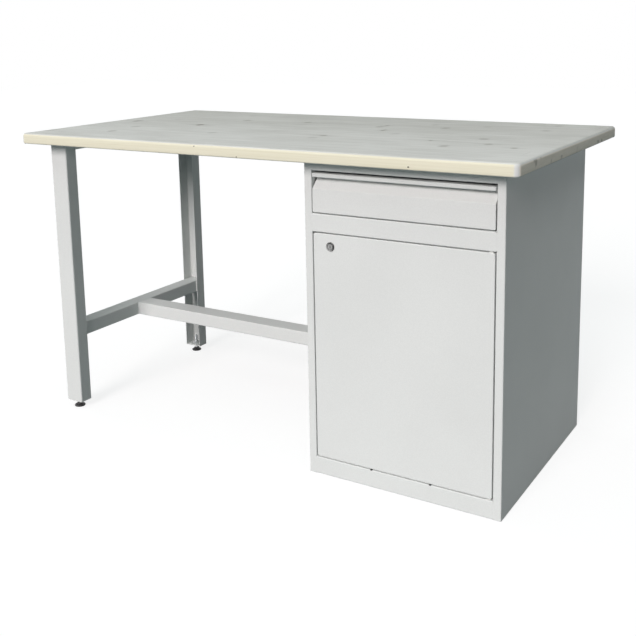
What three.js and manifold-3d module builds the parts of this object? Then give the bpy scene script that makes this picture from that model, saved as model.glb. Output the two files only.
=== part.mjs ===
// Workbench: a thick board on a folded steel leg frame and a sheet-steel cabinet with a drawer and a door.
// Millimetres, +Z up, +X to the right of someone standing in front, front facing -Y.
// The origin is on the floor under the middle of the worktop.

import * as THREE from 'three';
import { mergeVertices } from 'three/addons/utils/BufferGeometryUtils.js';
import Module from 'manifold-3d';

const wasm = await Module();
wasm.setup();

// Worktop
const BENCH_WIDTH = 1500;
const BENCH_DEPTH = 800;
const BENCH_HEIGHT = 850;
const TOP_THICKNESS = 30;
const TOP_CORNER_RADIUS = 10;
const TOP_EDGE_RADIUS = 2.5;
const UNDER_EDGE_RADIUS = 2.5;

// Where the leg frame and the cabinet stand under the worktop
const SIDE_OVERHANG = 50;
const FRONT_OVERHANG = 64;
const FRAME_DEPTH = 615;

// Gap left between pieces that are welded, screwed or pressed together
const FIT = 0.3;

// Inside radius of folded sheet and the number of facets in a bend
const BEND_RADIUS = 1.5;
const BEND_STEPS = 3;

// Legs, folded C-channels with their open sides facing each other
const LEG_WIDTH = 60;
const LEG_DEPTH = 40;
const LEG_WALL = 2.5;
const LEG_LIFT = 22;

// Cross rails between the legs
const RAIL_PLAY = 2.5;
const RAIL_HEIGHT = 40;
const RAIL_WALL = 2;
const RAIL_TOP = 265;
const UPPER_RAIL_HEIGHT = 25;
const SCREW_SLOT_LENGTH = 22;
const SCREW_SLOT_WIDTH = 7;
const SCREW_SLOT_COUNT = 3;

// Levelling feet
const FOOT_PLATE = 4;
const STUD_RADIUS = 5;
const STUD_LENGTH = 46;
const NUT_ACROSS_FLATS = 17;
const NUT_HEIGHT = 8;
const DRAIN_RADIUS = 3;
const DRAIN_OFFSET = 17;
const PAD_RADIUS = 16;
const PAD_HEIGHT = 10;
const PAD_TAPER = 3;

// Stretcher between the lower rail and the cabinet
const STRETCHER_DEPTH = 60;
const END_PLATE = 4;
const END_PLATE_EAR = 24;
const BOLT_HOLE_RADIUS = 4.5;

// Cabinet shell
const CABINET_WIDTH = 520;
const SHEET = 1.2;
const STILE = 21;
const REAR_FLANGE = 20;
const PLINTH_HEIGHT = 46;
const PLINTH_FLANGE = 30;
const MID_RAIL_HEIGHT = 46;
const MID_RAIL_FLANGE = 30;
const TOP_RAIL_HEIGHT = 27;
const TOP_FLANGE = 45;
const STOP_LIP_HEIGHT = 14;
const ANGLE_SIZE = 28;

// Shelf
const SHELF_HEIGHT = 330;
const SHELF_SETBACK = 60;
const SHELF_FLANGE = 25;
const SHELF_LEDGE = 18;

// Drawer
const DRAWER_FRONT_HEIGHT = 98.5;
const DRAWER_LEFT_GAP = 2.5;
const DRAWER_RIGHT_GAP = 2.5;
const DRAWER_LOWER_GAP = 2.5;
const GRIP_HEIGHT = 39;
const GRIP_DEPTH = 24;
const GRIP_RISE = 23;
const LIP_HEIGHT = 10.5;
const LIP_GAP = 6;
const LIP_HEM = 7;
const DRAWER_FLANGE = 45;
const DRAWER_CORNER_RADIUS = 4;
const DRAWER_RIM_DROP = 24;
const DRAWER_BACK_ROOM = 44;
const DRAWER_SHEET = 1;
const DRAWER_RIM = 9;

// Telescopic runners
const RUNNER_HEIGHT = 45;
const RUNNER_WIDTH = 12.7;
const RUNNER_SHEET = 1.2;
const RUNNER_PLAY = 0.8;
const RUNNER_SETBACK = 32;
const SUPPORT_MARGIN = 4.5;

// Door
const DOOR_GAP = 2.5;
const DOOR_LEFT_GAP = 2.5;
const DOOR_LOWER_GAP = 2.5;
const DOOR_DEPTH = 14;
const DOOR_EDGE_RADIUS = 2.4;
const DOOR_CORNER_RADIUS = 6;
const DOOR_LIP = 11;
const STIFFENER_WIDTH = 40;
const STIFFENER_FLANGE = 15;
const STIFFENER_HEIGHT = 10;
const PIVOT_INSET = 10;
const PIVOT_SETBACK = 6.5;
const PIN_RADIUS = 2.5;
const PIN_HEAD_RADIUS = 5;
const PIN_HEAD = 2;
const PIN_REACH = 4;
const BUSH_WALL = 1.2;
const BUSH_COLLAR = 1.3;
const BUMPER_RADIUS = 4;
const BUMPER_THICKNESS = 4.4;
const BUMPER_SPACING = 160;

// Cam lock
const LOCK_INSET = 49;
const LOCK_DROP = 31;
const LOCK_FLANGE_RADIUS = 11.5;
const LOCK_FLANGE = 2.5;
const LOCK_BODY_RADIUS = 9.5;
const LOCK_BODY_LENGTH = 20;
const LOCK_PLUG_RADIUS = 7;
const LOCK_NUT_ACROSS_FLATS = 24;
const LOCK_NUT_HEIGHT = 5;
const KEYWAY_WIDTH = 1.6;
const KEYWAY_HEIGHT = 8;
const KEYWAY_DEPTH = 5;
const CAM_LENGTH = 58;
const CAM_WIDTH = 16;
const CAM_THICKNESS = 2;

// Facets of round pieces
const ROUND_SIDES = 20;
const CORNER_STEPS = 5;

// Finishes
const BOARD = { color: 0xdcd6c2, roughness: 0.6, metalness: 0 };
const LIGHT_GREY = { color: 0xd9dad7, roughness: 0.45, metalness: 0.1 };
const ZINC = { color: 0xb4b6b6, roughness: 0.35, metalness: 0.8 };
const BLACK_PLASTIC = { color: 0x262626, roughness: 0.6, metalness: 0 };
const NYLON = { color: 0xe2e3df, roughness: 0.5, metalness: 0 };
const RUBBER = { color: 0x2e2e2e, roughness: 0.85, metalness: 0 };
const LOCK_METAL = { color: 0x9da0a2, roughness: 0.3, metalness: 0.9 };

// Places worked out from the sizes above
const UNDERSIDE = BENCH_HEIGHT - TOP_THICKNESS;
const FRAME_TOP = UNDERSIDE - FIT;
const FRAME_FRONT = FRONT_OVERHANG - BENCH_DEPTH / 2;
const FRAME_MIDDLE = FRAME_DEPTH / 2;
const LEG_FRAME_LEFT = SIDE_OVERHANG - BENCH_WIDTH / 2;
const CABINET_LEFT = BENCH_WIDTH / 2 - SIDE_OVERHANG - CABINET_WIDTH;
const OPENING_LEFT = STILE;
const OPENING_RIGHT = CABINET_WIDTH - STILE;
const STOP_LIP_FRONT = DOOR_DEPTH + BUMPER_THICKNESS + 2 * FIT;
const STILE_RETURN = STOP_LIP_FRONT - 1;
const DRAWER_BACK = FRAME_DEPTH - DRAWER_BACK_ROOM;

// One named piece with its own finish
function piece(name, geometry, finish) {
  const mesh = new THREE.Mesh(geometry, new THREE.MeshStandardMaterial(finish));
  mesh.name = name;
  return mesh;
}

// Closed mesh of a geometry, with its faces turned outwards
function closedMesh(geometry) {
  const bare = geometry.clone();
  bare.deleteAttribute('normal');
  bare.deleteAttribute('uv');
  const merged = mergeVertices(bare, 1e-4);
  const vertProperties = new Float32Array(merged.attributes.position.array);
  const triVerts = new Uint32Array(merged.index.array);
  if (signedVolume(vertProperties, triVerts) < 0) {
    for (let i = 0; i < triVerts.length; i += 3) {
      [triVerts[i], triVerts[i + 1]] = [triVerts[i + 1], triVerts[i]];
    }
  }
  return { vertProperties, triVerts };
}

function signedVolume(points, triangles) {
  const [a, b, c] = [new THREE.Vector3(), new THREE.Vector3(), new THREE.Vector3()];
  let sum = 0;
  for (let i = 0; i < triangles.length; i += 3) {
    a.fromArray(points, 3 * triangles[i]);
    b.fromArray(points, 3 * triangles[i + 1]);
    c.fromArray(points, 3 * triangles[i + 2]);
    sum += a.dot(b.cross(c));
  }
  return sum / 6;
}

function toManifold(geometry) {
  return new wasm.Manifold(new wasm.Mesh({ numProp: 3, ...closedMesh(geometry) }));
}

function toGeometry(manifold) {
  const mesh = manifold.getMesh();
  const geometry = new THREE.BufferGeometry();
  geometry.setAttribute('position', new THREE.BufferAttribute(mesh.vertProperties, 3));
  geometry.setIndex(new THREE.BufferAttribute(mesh.triVerts, 1));
  geometry.computeVertexNormals();
  return geometry;
}

// The first geometry with the others cut away
function cut(geometry, ...tools) {
  const rest = tools.reduce((left, tool) => left.subtract(toManifold(tool)), toManifold(geometry));
  return toGeometry(rest);
}

// All geometries grown into one solid
function join(...geometries) {
  const [first, ...others] = geometries.map(toManifold);
  return toGeometry(others.reduce((sum, other) => sum.add(other), first));
}

// What two geometries have in common
function overlap(first, second) {
  return toGeometry(toManifold(first).intersect(toManifold(second)));
}

// A shape swept along one axis, from one place to another. The shape's own two axes are Y and Z along X,
// X and Z along Y, and X and Y along Z.
function prism(shape, length) {
  const options = { depth: length, bevelEnabled: false, curveSegments: CORNER_STEPS };
  return new THREE.ExtrudeGeometry(shape, options);
}

function alongX(shape, from, to) {
  const geometry = prism(shape, to - from);
  const turn = new THREE.Matrix4().set(0, 0, 1, from, 1, 0, 0, 0, 0, 1, 0, 0, 0, 0, 0, 1);
  return geometry.applyMatrix4(turn);
}

function alongY(shape, from, to) {
  const geometry = prism(shape, to - from);
  const turn = new THREE.Matrix4().set(1, 0, 0, 0, 0, 0, -1, to, 0, 1, 0, 0, 0, 0, 0, 1);
  return geometry.applyMatrix4(turn);
}

function alongZ(shape, from, to) {
  return prism(shape, to - from).translate(0, 0, from);
}

// Outline of a folded sheet. The path runs along one face of the sheet, and the sheet lies on its right.
function folded(path, thickness, radius = BEND_RADIUS) {
  const corners = path.map(([x, y]) => new THREE.Vector2(x, y));
  const near = [];
  const far = [];
  const last = corners.length - 1;
  for (let i = 0; i <= last; i += 1) {
    const before = i > 0 ? corners[i].clone().sub(corners[i - 1]).normalize() : null;
    const after = i < last ? corners[i + 1].clone().sub(corners[i]).normalize() : null;
    if (!before || !after) {
      const heading = before || after;
      near.push(corners[i]);
      far.push(corners[i].clone().add(new THREE.Vector2(heading.y, -heading.x).multiplyScalar(thickness)));
    } else {
      const turn = Math.atan2(before.cross(after), before.dot(after));
      const side = Math.sign(turn);
      const nearRadius = side < 0 ? radius + thickness : radius;
      const farRadius = nearRadius + side * thickness;
      const start = corners[i].clone().addScaledVector(before, -nearRadius * Math.tan(Math.abs(turn) / 2));
      const inward = new THREE.Vector2(-before.y, before.x).multiplyScalar(side);
      const centre = start.clone().addScaledVector(inward, nearRadius);
      const spoke = start.clone().sub(centre).normalize();
      for (let step = 0; step <= BEND_STEPS; step += 1) {
        const ray = spoke.clone().rotateAround(new THREE.Vector2(), (turn * step) / BEND_STEPS);
        near.push(centre.clone().addScaledVector(ray, nearRadius));
        far.push(centre.clone().addScaledVector(ray, farRadius));
      }
    }
  }
  return new THREE.Shape([...near, ...far.reverse()]);
}

// The same path seen in a mirror at the middle of a given width, still with the sheet on its right
function mirrored(path, width) {
  return path.map(([x, y]) => [width - x, y]).reverse();
}

function rectangle(left, bottom, right, top) {
  const corners = [[left, bottom], [right, bottom], [right, top], [left, top]];
  return new THREE.Shape(corners.map(([x, y]) => new THREE.Vector2(x, y)));
}

function roundedRectangle(left, bottom, right, top, radius) {
  const shape = new THREE.Shape();
  shape.absarc(right - radius, bottom + radius, radius, -Math.PI / 2, 0);
  shape.absarc(right - radius, top - radius, radius, 0, Math.PI / 2);
  shape.absarc(left + radius, top - radius, radius, Math.PI / 2, Math.PI);
  shape.absarc(left + radius, bottom + radius, radius, Math.PI, 1.5 * Math.PI);
  return shape;
}

// Section of a rectangular tube with slightly rounded outer corners
function tube(left, bottom, right, top, wall) {
  const section = roundedRectangle(left, bottom, right, top, 1.5 * wall);
  section.holes.push(rectangle(left + wall, bottom + wall, right - wall, top - wall));
  return section;
}

// Rounded slot lying along the shape's second axis
function slot(x, y, length, width) {
  const radius = width / 2;
  return roundedRectangle(x - radius, y - length / 2, x + radius, y + length / 2, radius);
}

function circle(x, y, radius) {
  const points = [];
  for (let i = 0; i < ROUND_SIDES; i += 1) {
    const angle = (2 * Math.PI * i) / ROUND_SIDES;
    points.push(new THREE.Vector2(x + radius * Math.cos(angle), y + radius * Math.sin(angle)));
  }
  return new THREE.Shape(points);
}

// What rounding takes off a lower corner; inwards is +1 at a left corner and -1 at a right one
function cornerTool(x, y, radius, inwards) {
  const points = [[x - inwards, y - 1], [x + inwards * radius, y - 1]];
  for (let step = 0; step <= CORNER_STEPS; step += 1) {
    const angle = (Math.PI / 2) * (step / CORNER_STEPS);
    const along = radius * (1 - Math.sin(angle));
    const up = radius * (1 - Math.cos(angle));
    points.push([x + inwards * along, y + up]);
  }
  points.push([x - inwards, y + radius]);
  return new THREE.Shape(points.map(([u, v]) => new THREE.Vector2(u, v)));
}

function hexagon(x, y, acrossFlats) {
  const points = [];
  for (let i = 0; i < 6; i += 1) {
    const angle = (Math.PI * i) / 3;
    const corner = acrossFlats / Math.sqrt(3);
    points.push(new THREE.Vector2(x + corner * Math.cos(angle), y + corner * Math.sin(angle)));
  }
  return new THREE.Shape(points);
}

// A board or pan blank lying on the shape's plane, with all its long edges rounded
function easedBlock(shape, thickness, edgeRadius) {
  return new THREE.ExtrudeGeometry(shape, {
    depth: thickness - 2 * edgeRadius,
    bevelThickness: edgeRadius,
    bevelSize: edgeRadius,
    bevelOffset: -edgeRadius,
    bevelSegments: BEND_STEPS,
    curveSegments: CORNER_STEPS,
  }).translate(0, 0, edgeRadius);
}

// A turned piece about the Y axis, from [radius, height] corners that start and end on the axis or close up
function turned(profile) {
  const points = profile.map(([radius, height]) => new THREE.Vector2(radius, height));
  const { vertProperties, triVerts } = closedMesh(new THREE.LatheGeometry(points, ROUND_SIDES));
  const geometry = new THREE.BufferGeometry();
  geometry.setAttribute('position', new THREE.BufferAttribute(vertProperties, 3));
  geometry.setIndex(new THREE.BufferAttribute(triVerts, 1));
  geometry.computeVertexNormals();
  return geometry;
}

function turnedUpright(profile, x, y) {
  return turned(profile).rotateX(Math.PI / 2).translate(x, y, 0);
}

// Worktop

// The board keeps what a block with the lower edge's rounding and one with the upper edge's have in common
function makeWorktop() {
  const [right, back] = [BENCH_WIDTH / 2, BENCH_DEPTH / 2];
  const outline = roundedRectangle(-right, -back, right, back, TOP_CORNER_RADIUS);
  const block = (edgeRadius) => easedBlock(outline, 2 * TOP_THICKNESS, edgeRadius);
  const lower = block(UNDER_EDGE_RADIUS).translate(0, 0, UNDERSIDE);
  const upper = block(TOP_EDGE_RADIUS).translate(0, 0, UNDERSIDE - TOP_THICKNESS);
  return piece('worktop', overlap(lower, upper), BOARD);
}

// Leg frame, in a group whose origin is at the floor under its front left corner

const RAIL_LEFT = LEG_WALL + RAIL_PLAY;
const RAIL_RIGHT = LEG_WIDTH - RAIL_LEFT;
const RAIL_FRONT = LEG_WALL + FIT;
const RAIL_BACK = FRAME_DEPTH - RAIL_FRONT;
const PLATE_TOP = LEG_LIFT + FOOT_PLATE;
const FOOT_X = LEG_WIDTH / 2;
const FOOT_SETBACK = (LEG_WALL + LEG_DEPTH) / 2;
const STUD_HOLE_RADIUS = STUD_RADIUS + FIT;

function makeLeg(name, webY, openY) {
  const path = [[0, openY], [0, webY], [LEG_WIDTH, webY], [LEG_WIDTH, openY]];
  const sheetInside = webY < openY ? [...path].reverse() : path;
  const channel = alongZ(folded(sheetInside, LEG_WALL), LEG_LIFT, FRAME_TOP);
  return piece(name, channel, LIGHT_GREY);
}

function makeLowerRail() {
  const bottom = RAIL_TOP - RAIL_HEIGHT;
  const section = tube(RAIL_LEFT, bottom, RAIL_RIGHT, RAIL_TOP, RAIL_WALL);
  return piece('lower_rail', alongY(section, RAIL_FRONT, RAIL_BACK), LIGHT_GREY);
}

function makeUpperRail() {
  const bottom = FRAME_TOP - UPPER_RAIL_HEIGHT;
  const path = [[RAIL_LEFT, bottom], [RAIL_LEFT, FRAME_TOP], [RAIL_RIGHT, FRAME_TOP], [RAIL_RIGHT, bottom]];
  const channel = alongY(folded(path, RAIL_WALL), RAIL_FRONT, RAIL_BACK);
  const slots = [];
  for (let i = 1; i <= SCREW_SLOT_COUNT; i += 1) {
    const y = (FRAME_DEPTH * i) / (SCREW_SLOT_COUNT + 1);
    slots.push(alongZ(slot(FOOT_X, y, SCREW_SLOT_LENGTH, SCREW_SLOT_WIDTH), bottom, UNDERSIDE));
  }
  return piece('upper_rail', cut(channel, ...slots), LIGHT_GREY);
}

function makeFoot(side, footY, webY, openY) {
  const [near, far] = [webY, openY].sort((a, b) => a - b);
  const plate = roundedRectangle(LEG_WALL + FIT, near, LEG_WIDTH - LEG_WALL - FIT, far, BEND_RADIUS);
  plate.holes.push(circle(FOOT_X, footY, STUD_HOLE_RADIUS));
  plate.holes.push(circle(FOOT_X - DRAIN_OFFSET, footY, DRAIN_RADIUS));
  const nut = hexagon(FOOT_X, footY, NUT_ACROSS_FLATS);
  nut.holes.push(circle(FOOT_X, footY, STUD_HOLE_RADIUS));
  const nutBottom = PLATE_TOP + FIT;
  const studBottom = PAD_HEIGHT + FIT;
  const stud = [[0, studBottom], [STUD_RADIUS, studBottom], [STUD_RADIUS, studBottom + STUD_LENGTH],
    [0, studBottom + STUD_LENGTH]];
  const pad = [[0, 0], [PAD_RADIUS - PAD_TAPER / 3, 0], [PAD_RADIUS, PAD_TAPER / 3],
    [PAD_RADIUS, PAD_HEIGHT - PAD_TAPER], [PAD_RADIUS - PAD_TAPER, PAD_HEIGHT], [0, PAD_HEIGHT]];
  return [
    piece(`${side}_foot_plate`, alongZ(plate, LEG_LIFT, PLATE_TOP), LIGHT_GREY),
    piece(`${side}_foot_nut`, alongZ(nut, nutBottom, nutBottom + NUT_HEIGHT), ZINC),
    piece(`${side}_foot_stud`, turnedUpright(stud, FOOT_X, footY), ZINC),
    piece(`${side}_foot_pad`, turnedUpright(pad, FOOT_X, footY), BLACK_PLASTIC),
  ];
}

function makeLegFrame() {
  const group = new THREE.Group();
  group.position.set(LEG_FRAME_LEFT, FRAME_FRONT, 0);
  group.add(makeLeg('front_leg', 0, LEG_DEPTH));
  group.add(makeLeg('rear_leg', FRAME_DEPTH, FRAME_DEPTH - LEG_DEPTH));
  group.add(makeLowerRail());
  group.add(makeUpperRail());
  group.add(...makeFoot('front', FOOT_SETBACK, RAIL_FRONT, LEG_DEPTH));
  group.add(...makeFoot('rear', FRAME_DEPTH - FOOT_SETBACK, RAIL_BACK, FRAME_DEPTH - LEG_DEPTH));
  return group;
}

// Stretcher, in the frame of the whole bench

const STRETCHER_LEFT = LEG_FRAME_LEFT + RAIL_RIGHT + FIT;
const STRETCHER_RIGHT = CABINET_LEFT - END_PLATE - 2 * FIT;
const STRETCHER_Y = FRAME_FRONT + FRAME_MIDDLE;
const STRETCHER_Z = RAIL_TOP - RAIL_HEIGHT / 2;
const BOLT_OFFSET = (STRETCHER_DEPTH + END_PLATE_EAR) / 2;

function makeStretcher() {
  const [front, back] = [STRETCHER_Y - STRETCHER_DEPTH / 2, STRETCHER_Y + STRETCHER_DEPTH / 2];
  const bottom = RAIL_TOP - RAIL_HEIGHT;
  const section = tube(front, bottom, back, RAIL_TOP, RAIL_WALL);
  const plate = rectangle(front - END_PLATE_EAR, bottom, back + END_PLATE_EAR, RAIL_TOP);
  plate.holes.push(circle(STRETCHER_Y - BOLT_OFFSET, STRETCHER_Z, BOLT_HOLE_RADIUS));
  plate.holes.push(circle(STRETCHER_Y + BOLT_OFFSET, STRETCHER_Z, BOLT_HOLE_RADIUS));
  const plateLeft = STRETCHER_RIGHT + FIT;
  return [
    piece('stretcher', alongX(section, STRETCHER_LEFT, STRETCHER_RIGHT), LIGHT_GREY),
    piece('stretcher_end_plate', alongX(plate, plateLeft, plateLeft + END_PLATE), LIGHT_GREY),
  ];
}

// Cabinet shell, in a group whose origin is at the floor under its front left corner

const BACK_FACE = FRAME_DEPTH - SHEET - FIT;
const BACK_INSIDE = BACK_FACE - SHEET;
const INSIDE_LEFT = SHEET + FIT;
const INSIDE_RIGHT = CABINET_WIDTH - INSIDE_LEFT;
const RAIL_ENDS = [OPENING_LEFT + FIT, OPENING_RIGHT - FIT];
const FOLD_RADIUS = SHEET + BEND_RADIUS;
const SEAM_LEFT = OPENING_LEFT - FOLD_RADIUS - FIT;
const SEAM_RIGHT = CABINET_WIDTH - SEAM_LEFT;
const FLOOR_FACE = PLINTH_HEIGHT + FIT;
const DOOR_BOTTOM = PLINTH_HEIGHT + DOOR_LOWER_GAP;
const DRAWER_TOP = FRAME_TOP - TOP_RAIL_HEIGHT - LIP_GAP;
const DRAWER_BOTTOM = DRAWER_TOP - DRAWER_FRONT_HEIGHT;
const MID_RAIL_TOP = DRAWER_BOTTOM - DRAWER_LOWER_GAP;
const MID_RAIL_BOTTOM = MID_RAIL_TOP - MID_RAIL_HEIGHT;
const DOOR_TOP = MID_RAIL_BOTTOM - DOOR_GAP;
const DOOR_LEFT = OPENING_LEFT + DOOR_LEFT_GAP;
const DOOR_RIGHT = OPENING_RIGHT - DOOR_GAP;
const PIVOT_X = DOOR_RIGHT - PIVOT_INSET;
const BUSH_BORE = PIN_RADIUS + FIT;
const BUSH_RADIUS = BUSH_BORE + BUSH_WALL;
const BUSH_HOLE_RADIUS = BUSH_RADIUS + FIT;

// Lower and upper edge of each front rail
const FRONT_RAILS = [
  [0, PLINTH_HEIGHT],
  [MID_RAIL_BOTTOM, MID_RAIL_TOP],
  [FRAME_TOP - TOP_RAIL_HEIGHT, FRAME_TOP],
];

// Flat strips that carry a rail's face across both stiles' rounded edges to the weld seams
function seamStrips(bottom, top, depth, stop) {
  const [low, high] = [bottom + FOLD_RADIUS, top - FOLD_RADIUS];
  const left = rectangle(SEAM_LEFT, low, OPENING_LEFT + stop, high);
  const right = rectangle(OPENING_RIGHT - stop, low, SEAM_RIGHT, high);
  return [left, right].map((strip) => alongY(strip, ...depth));
}

function makeSides() {
  const leftPath = [[STILE, STILE_RETURN], [STILE, 0], [0, 0], [0, FRAME_DEPTH], [REAR_FLANGE, FRAME_DEPTH]];
  const rightPath = mirrored(leftPath, CABINET_WIDTH);
  const boltHoles = [-BOLT_OFFSET, BOLT_OFFSET].map((offset) => {
    const hole = circle(FRAME_MIDDLE + offset, STRETCHER_Z, BOLT_HOLE_RADIUS);
    return alongX(hole, -SHEET, 2 * SHEET);
  });
  const notches = FRONT_RAILS.map(([bottom, top]) => seamStrips(bottom, top, [-SHEET, FOLD_RADIUS], SHEET));
  const leftNotches = notches.map(([left]) => left);
  const rightNotches = notches.map(([, right]) => right);
  const leftSide = cut(alongZ(folded(leftPath, SHEET), 0, FRAME_TOP), ...boltHoles, ...leftNotches);
  const rightSide = cut(alongZ(folded(rightPath, SHEET), 0, FRAME_TOP), ...rightNotches);
  return [
    piece('cabinet_left_side', leftSide, LIGHT_GREY),
    piece('cabinet_right_side', rightSide, LIGHT_GREY),
  ];
}

function makeBack() {
  const path = [[BACK_FACE - TOP_FLANGE, FRAME_TOP], [BACK_FACE, FRAME_TOP], [BACK_FACE, 0],
    [BACK_FACE - REAR_FLANGE, 0]];
  const clear = INSIDE_LEFT + BEND_RADIUS;
  return piece('cabinet_back', alongX(folded(path, SHEET), clear, CABINET_WIDTH - clear), LIGHT_GREY);
}

// Floor plate with a stop lip behind the door and a flange down along the back panel
function makeFloor() {
  const rear = BACK_INSIDE - FIT - SHEET;
  const path = [[rear, FLOOR_FACE - REAR_FLANGE], [rear, FLOOR_FACE], [STOP_LIP_FRONT, FLOOR_FACE],
    [STOP_LIP_FRONT, FLOOR_FACE + STOP_LIP_HEIGHT]];
  return piece('cabinet_floor', alongX(folded(path, SHEET), INSIDE_LEFT, INSIDE_RIGHT), LIGHT_GREY);
}

// Front rails are channels between the stiles, open to the back
function makeFrontRails() {
  const channel = (bottom, top, lowerFlange, upperFlange) => {
    const path = [[lowerFlange, bottom], [0, bottom], [0, top], [upperFlange, top]];
    const strips = seamStrips(bottom, top, [0, SHEET], STILE);
    return join(alongX(folded(path, SHEET), ...RAIL_ENDS), ...strips);
  };
  const bushHole = (z) => {
    const hole = circle(PIVOT_X, PIVOT_SETBACK, BUSH_HOLE_RADIUS);
    return alongZ(hole, z - 2 * SHEET, z + 2 * SHEET);
  };
  const [plinthEdges, midEdges, topEdges] = FRONT_RAILS;
  const plinth = channel(...plinthEdges, PLINTH_FLANGE, PLINTH_FLANGE);
  const mid = channel(...midEdges, MID_RAIL_FLANGE, MID_RAIL_FLANGE);
  const top = channel(...topEdges, STILE_RETURN, TOP_FLANGE);
  return [
    piece('bottom_rail', cut(plinth, bushHole(PLINTH_HEIGHT)), LIGHT_GREY),
    piece('mid_rail', cut(mid, bushHole(MID_RAIL_BOTTOM)), LIGHT_GREY),
    piece('top_rail', top, LIGHT_GREY),
  ];
}

// Angles along the tops of the sides, which hold the worktop
function makeTopAngles() {
  const path = [[INSIDE_LEFT, FRAME_TOP - ANGLE_SIZE], [INSIDE_LEFT, FRAME_TOP],
    [INSIDE_LEFT + ANGLE_SIZE, FRAME_TOP]];
  const [front, back] = [TOP_FLANGE + FIT, BACK_FACE - TOP_FLANGE - FIT];
  const angle = (line) => alongY(folded(line, SHEET), front, back);
  return [
    piece('top_angle_left', angle(path), LIGHT_GREY),
    piece('top_angle_right', angle(mirrored(path, CABINET_WIDTH)), LIGHT_GREY),
  ];
}

function makeShelf() {
  const [front, back] = [SHELF_SETBACK, BACK_INSIDE - FIT];
  const flangeBottom = SHELF_HEIGHT - SHELF_FLANGE;
  const path = [[front, flangeBottom], [front, SHELF_HEIGHT], [back, SHELF_HEIGHT], [back, flangeBottom]];
  const ledgeTop = SHELF_HEIGHT - SHEET - FIT;
  const ledgePath = [[INSIDE_LEFT, ledgeTop - SHELF_FLANGE], [INSIDE_LEFT, ledgeTop],
    [INSIDE_LEFT + SHELF_LEDGE, ledgeTop]];
  const clear = SHEET + BEND_RADIUS + FIT;
  const ledge = (line) => alongY(folded(line, SHEET), front + clear, back - clear);
  return [
    piece('shelf', alongX(folded(path, SHEET), INSIDE_LEFT, INSIDE_RIGHT), LIGHT_GREY),
    piece('shelf_support_left', ledge(ledgePath), LIGHT_GREY),
    piece('shelf_support_right', ledge(mirrored(ledgePath, CABINET_WIDTH)), LIGHT_GREY),
  ];
}

// Telescopic runners: nested channels that carry the drawer on both sides

const RUNNER_START = OPENING_LEFT + FIT;
const BOX_BOTTOM = DRAWER_BOTTOM + SHEET + FIT;
const BOX_TOP = DRAWER_TOP - DRAWER_RIM_DROP;
const RUNNER_Z = (BOX_BOTTOM + BOX_TOP) / 2;
const RUNNER_STEP = RUNNER_SHEET + RUNNER_PLAY;

// A channel lying on its web at one x, with its flanges reaching to another x
function runnerChannel(webX, flangeX, halfHeight, right) {
  const [low, high] = [RUNNER_Z - halfHeight, RUNNER_Z + halfHeight];
  const opensRight = flangeX > webX;
  const path = opensRight
    ? [[flangeX, low], [webX, low], [webX, high], [flangeX, high]]
    : [[flangeX, high], [webX, high], [webX, low], [flangeX, low]];
  const line = right ? mirrored(path, CABINET_WIDTH) : path;
  return folded(line, RUNNER_SHEET, RUNNER_SHEET / 2);
}

function makeRunnerSupport(right) {
  const half = RUNNER_HEIGHT / 2 + SUPPORT_MARGIN;
  const face = RUNNER_START - FIT;
  const path = [[INSIDE_LEFT, RUNNER_Z + half], [face, RUNNER_Z + half], [face, RUNNER_Z - half],
    [INSIDE_LEFT, RUNNER_Z - half]];
  const line = right ? mirrored(path, CABINET_WIDTH) : path;
  const name = right ? 'runner_support_right' : 'runner_support_left';
  return piece(name, alongY(folded(line, SHEET), STOP_LIP_FRONT, BACK_INSIDE - FIT), LIGHT_GREY);
}

function makeRunner(right) {
  const side = right ? 'right' : 'left';
  const end = RUNNER_START + RUNNER_WIDTH;
  const half = RUNNER_HEIGHT / 2;
  const members = [
    ['outer', RUNNER_START, end - RUNNER_STEP, half],
    ['middle', RUNNER_START + RUNNER_STEP, end - RUNNER_STEP, half - RUNNER_STEP],
    ['inner', end, RUNNER_START + 2 * RUNNER_STEP, half - 2 * RUNNER_STEP],
  ];
  return members.map(([name, webX, flangeX, halfHeight]) => {
    const profile = runnerChannel(webX, flangeX, halfHeight, right);
    const bar = alongY(profile, RUNNER_SETBACK, DRAWER_BACK);
    return piece(`runner_${name}_${side}`, bar, ZINC);
  });
}

// Drawer

const BOX_FRONT = GRIP_DEPTH + SHEET + FIT;
const BOX_LEFT = RUNNER_START + RUNNER_WIDTH + FIT;
const BOX_RIGHT = CABINET_WIDTH - BOX_LEFT;

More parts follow.
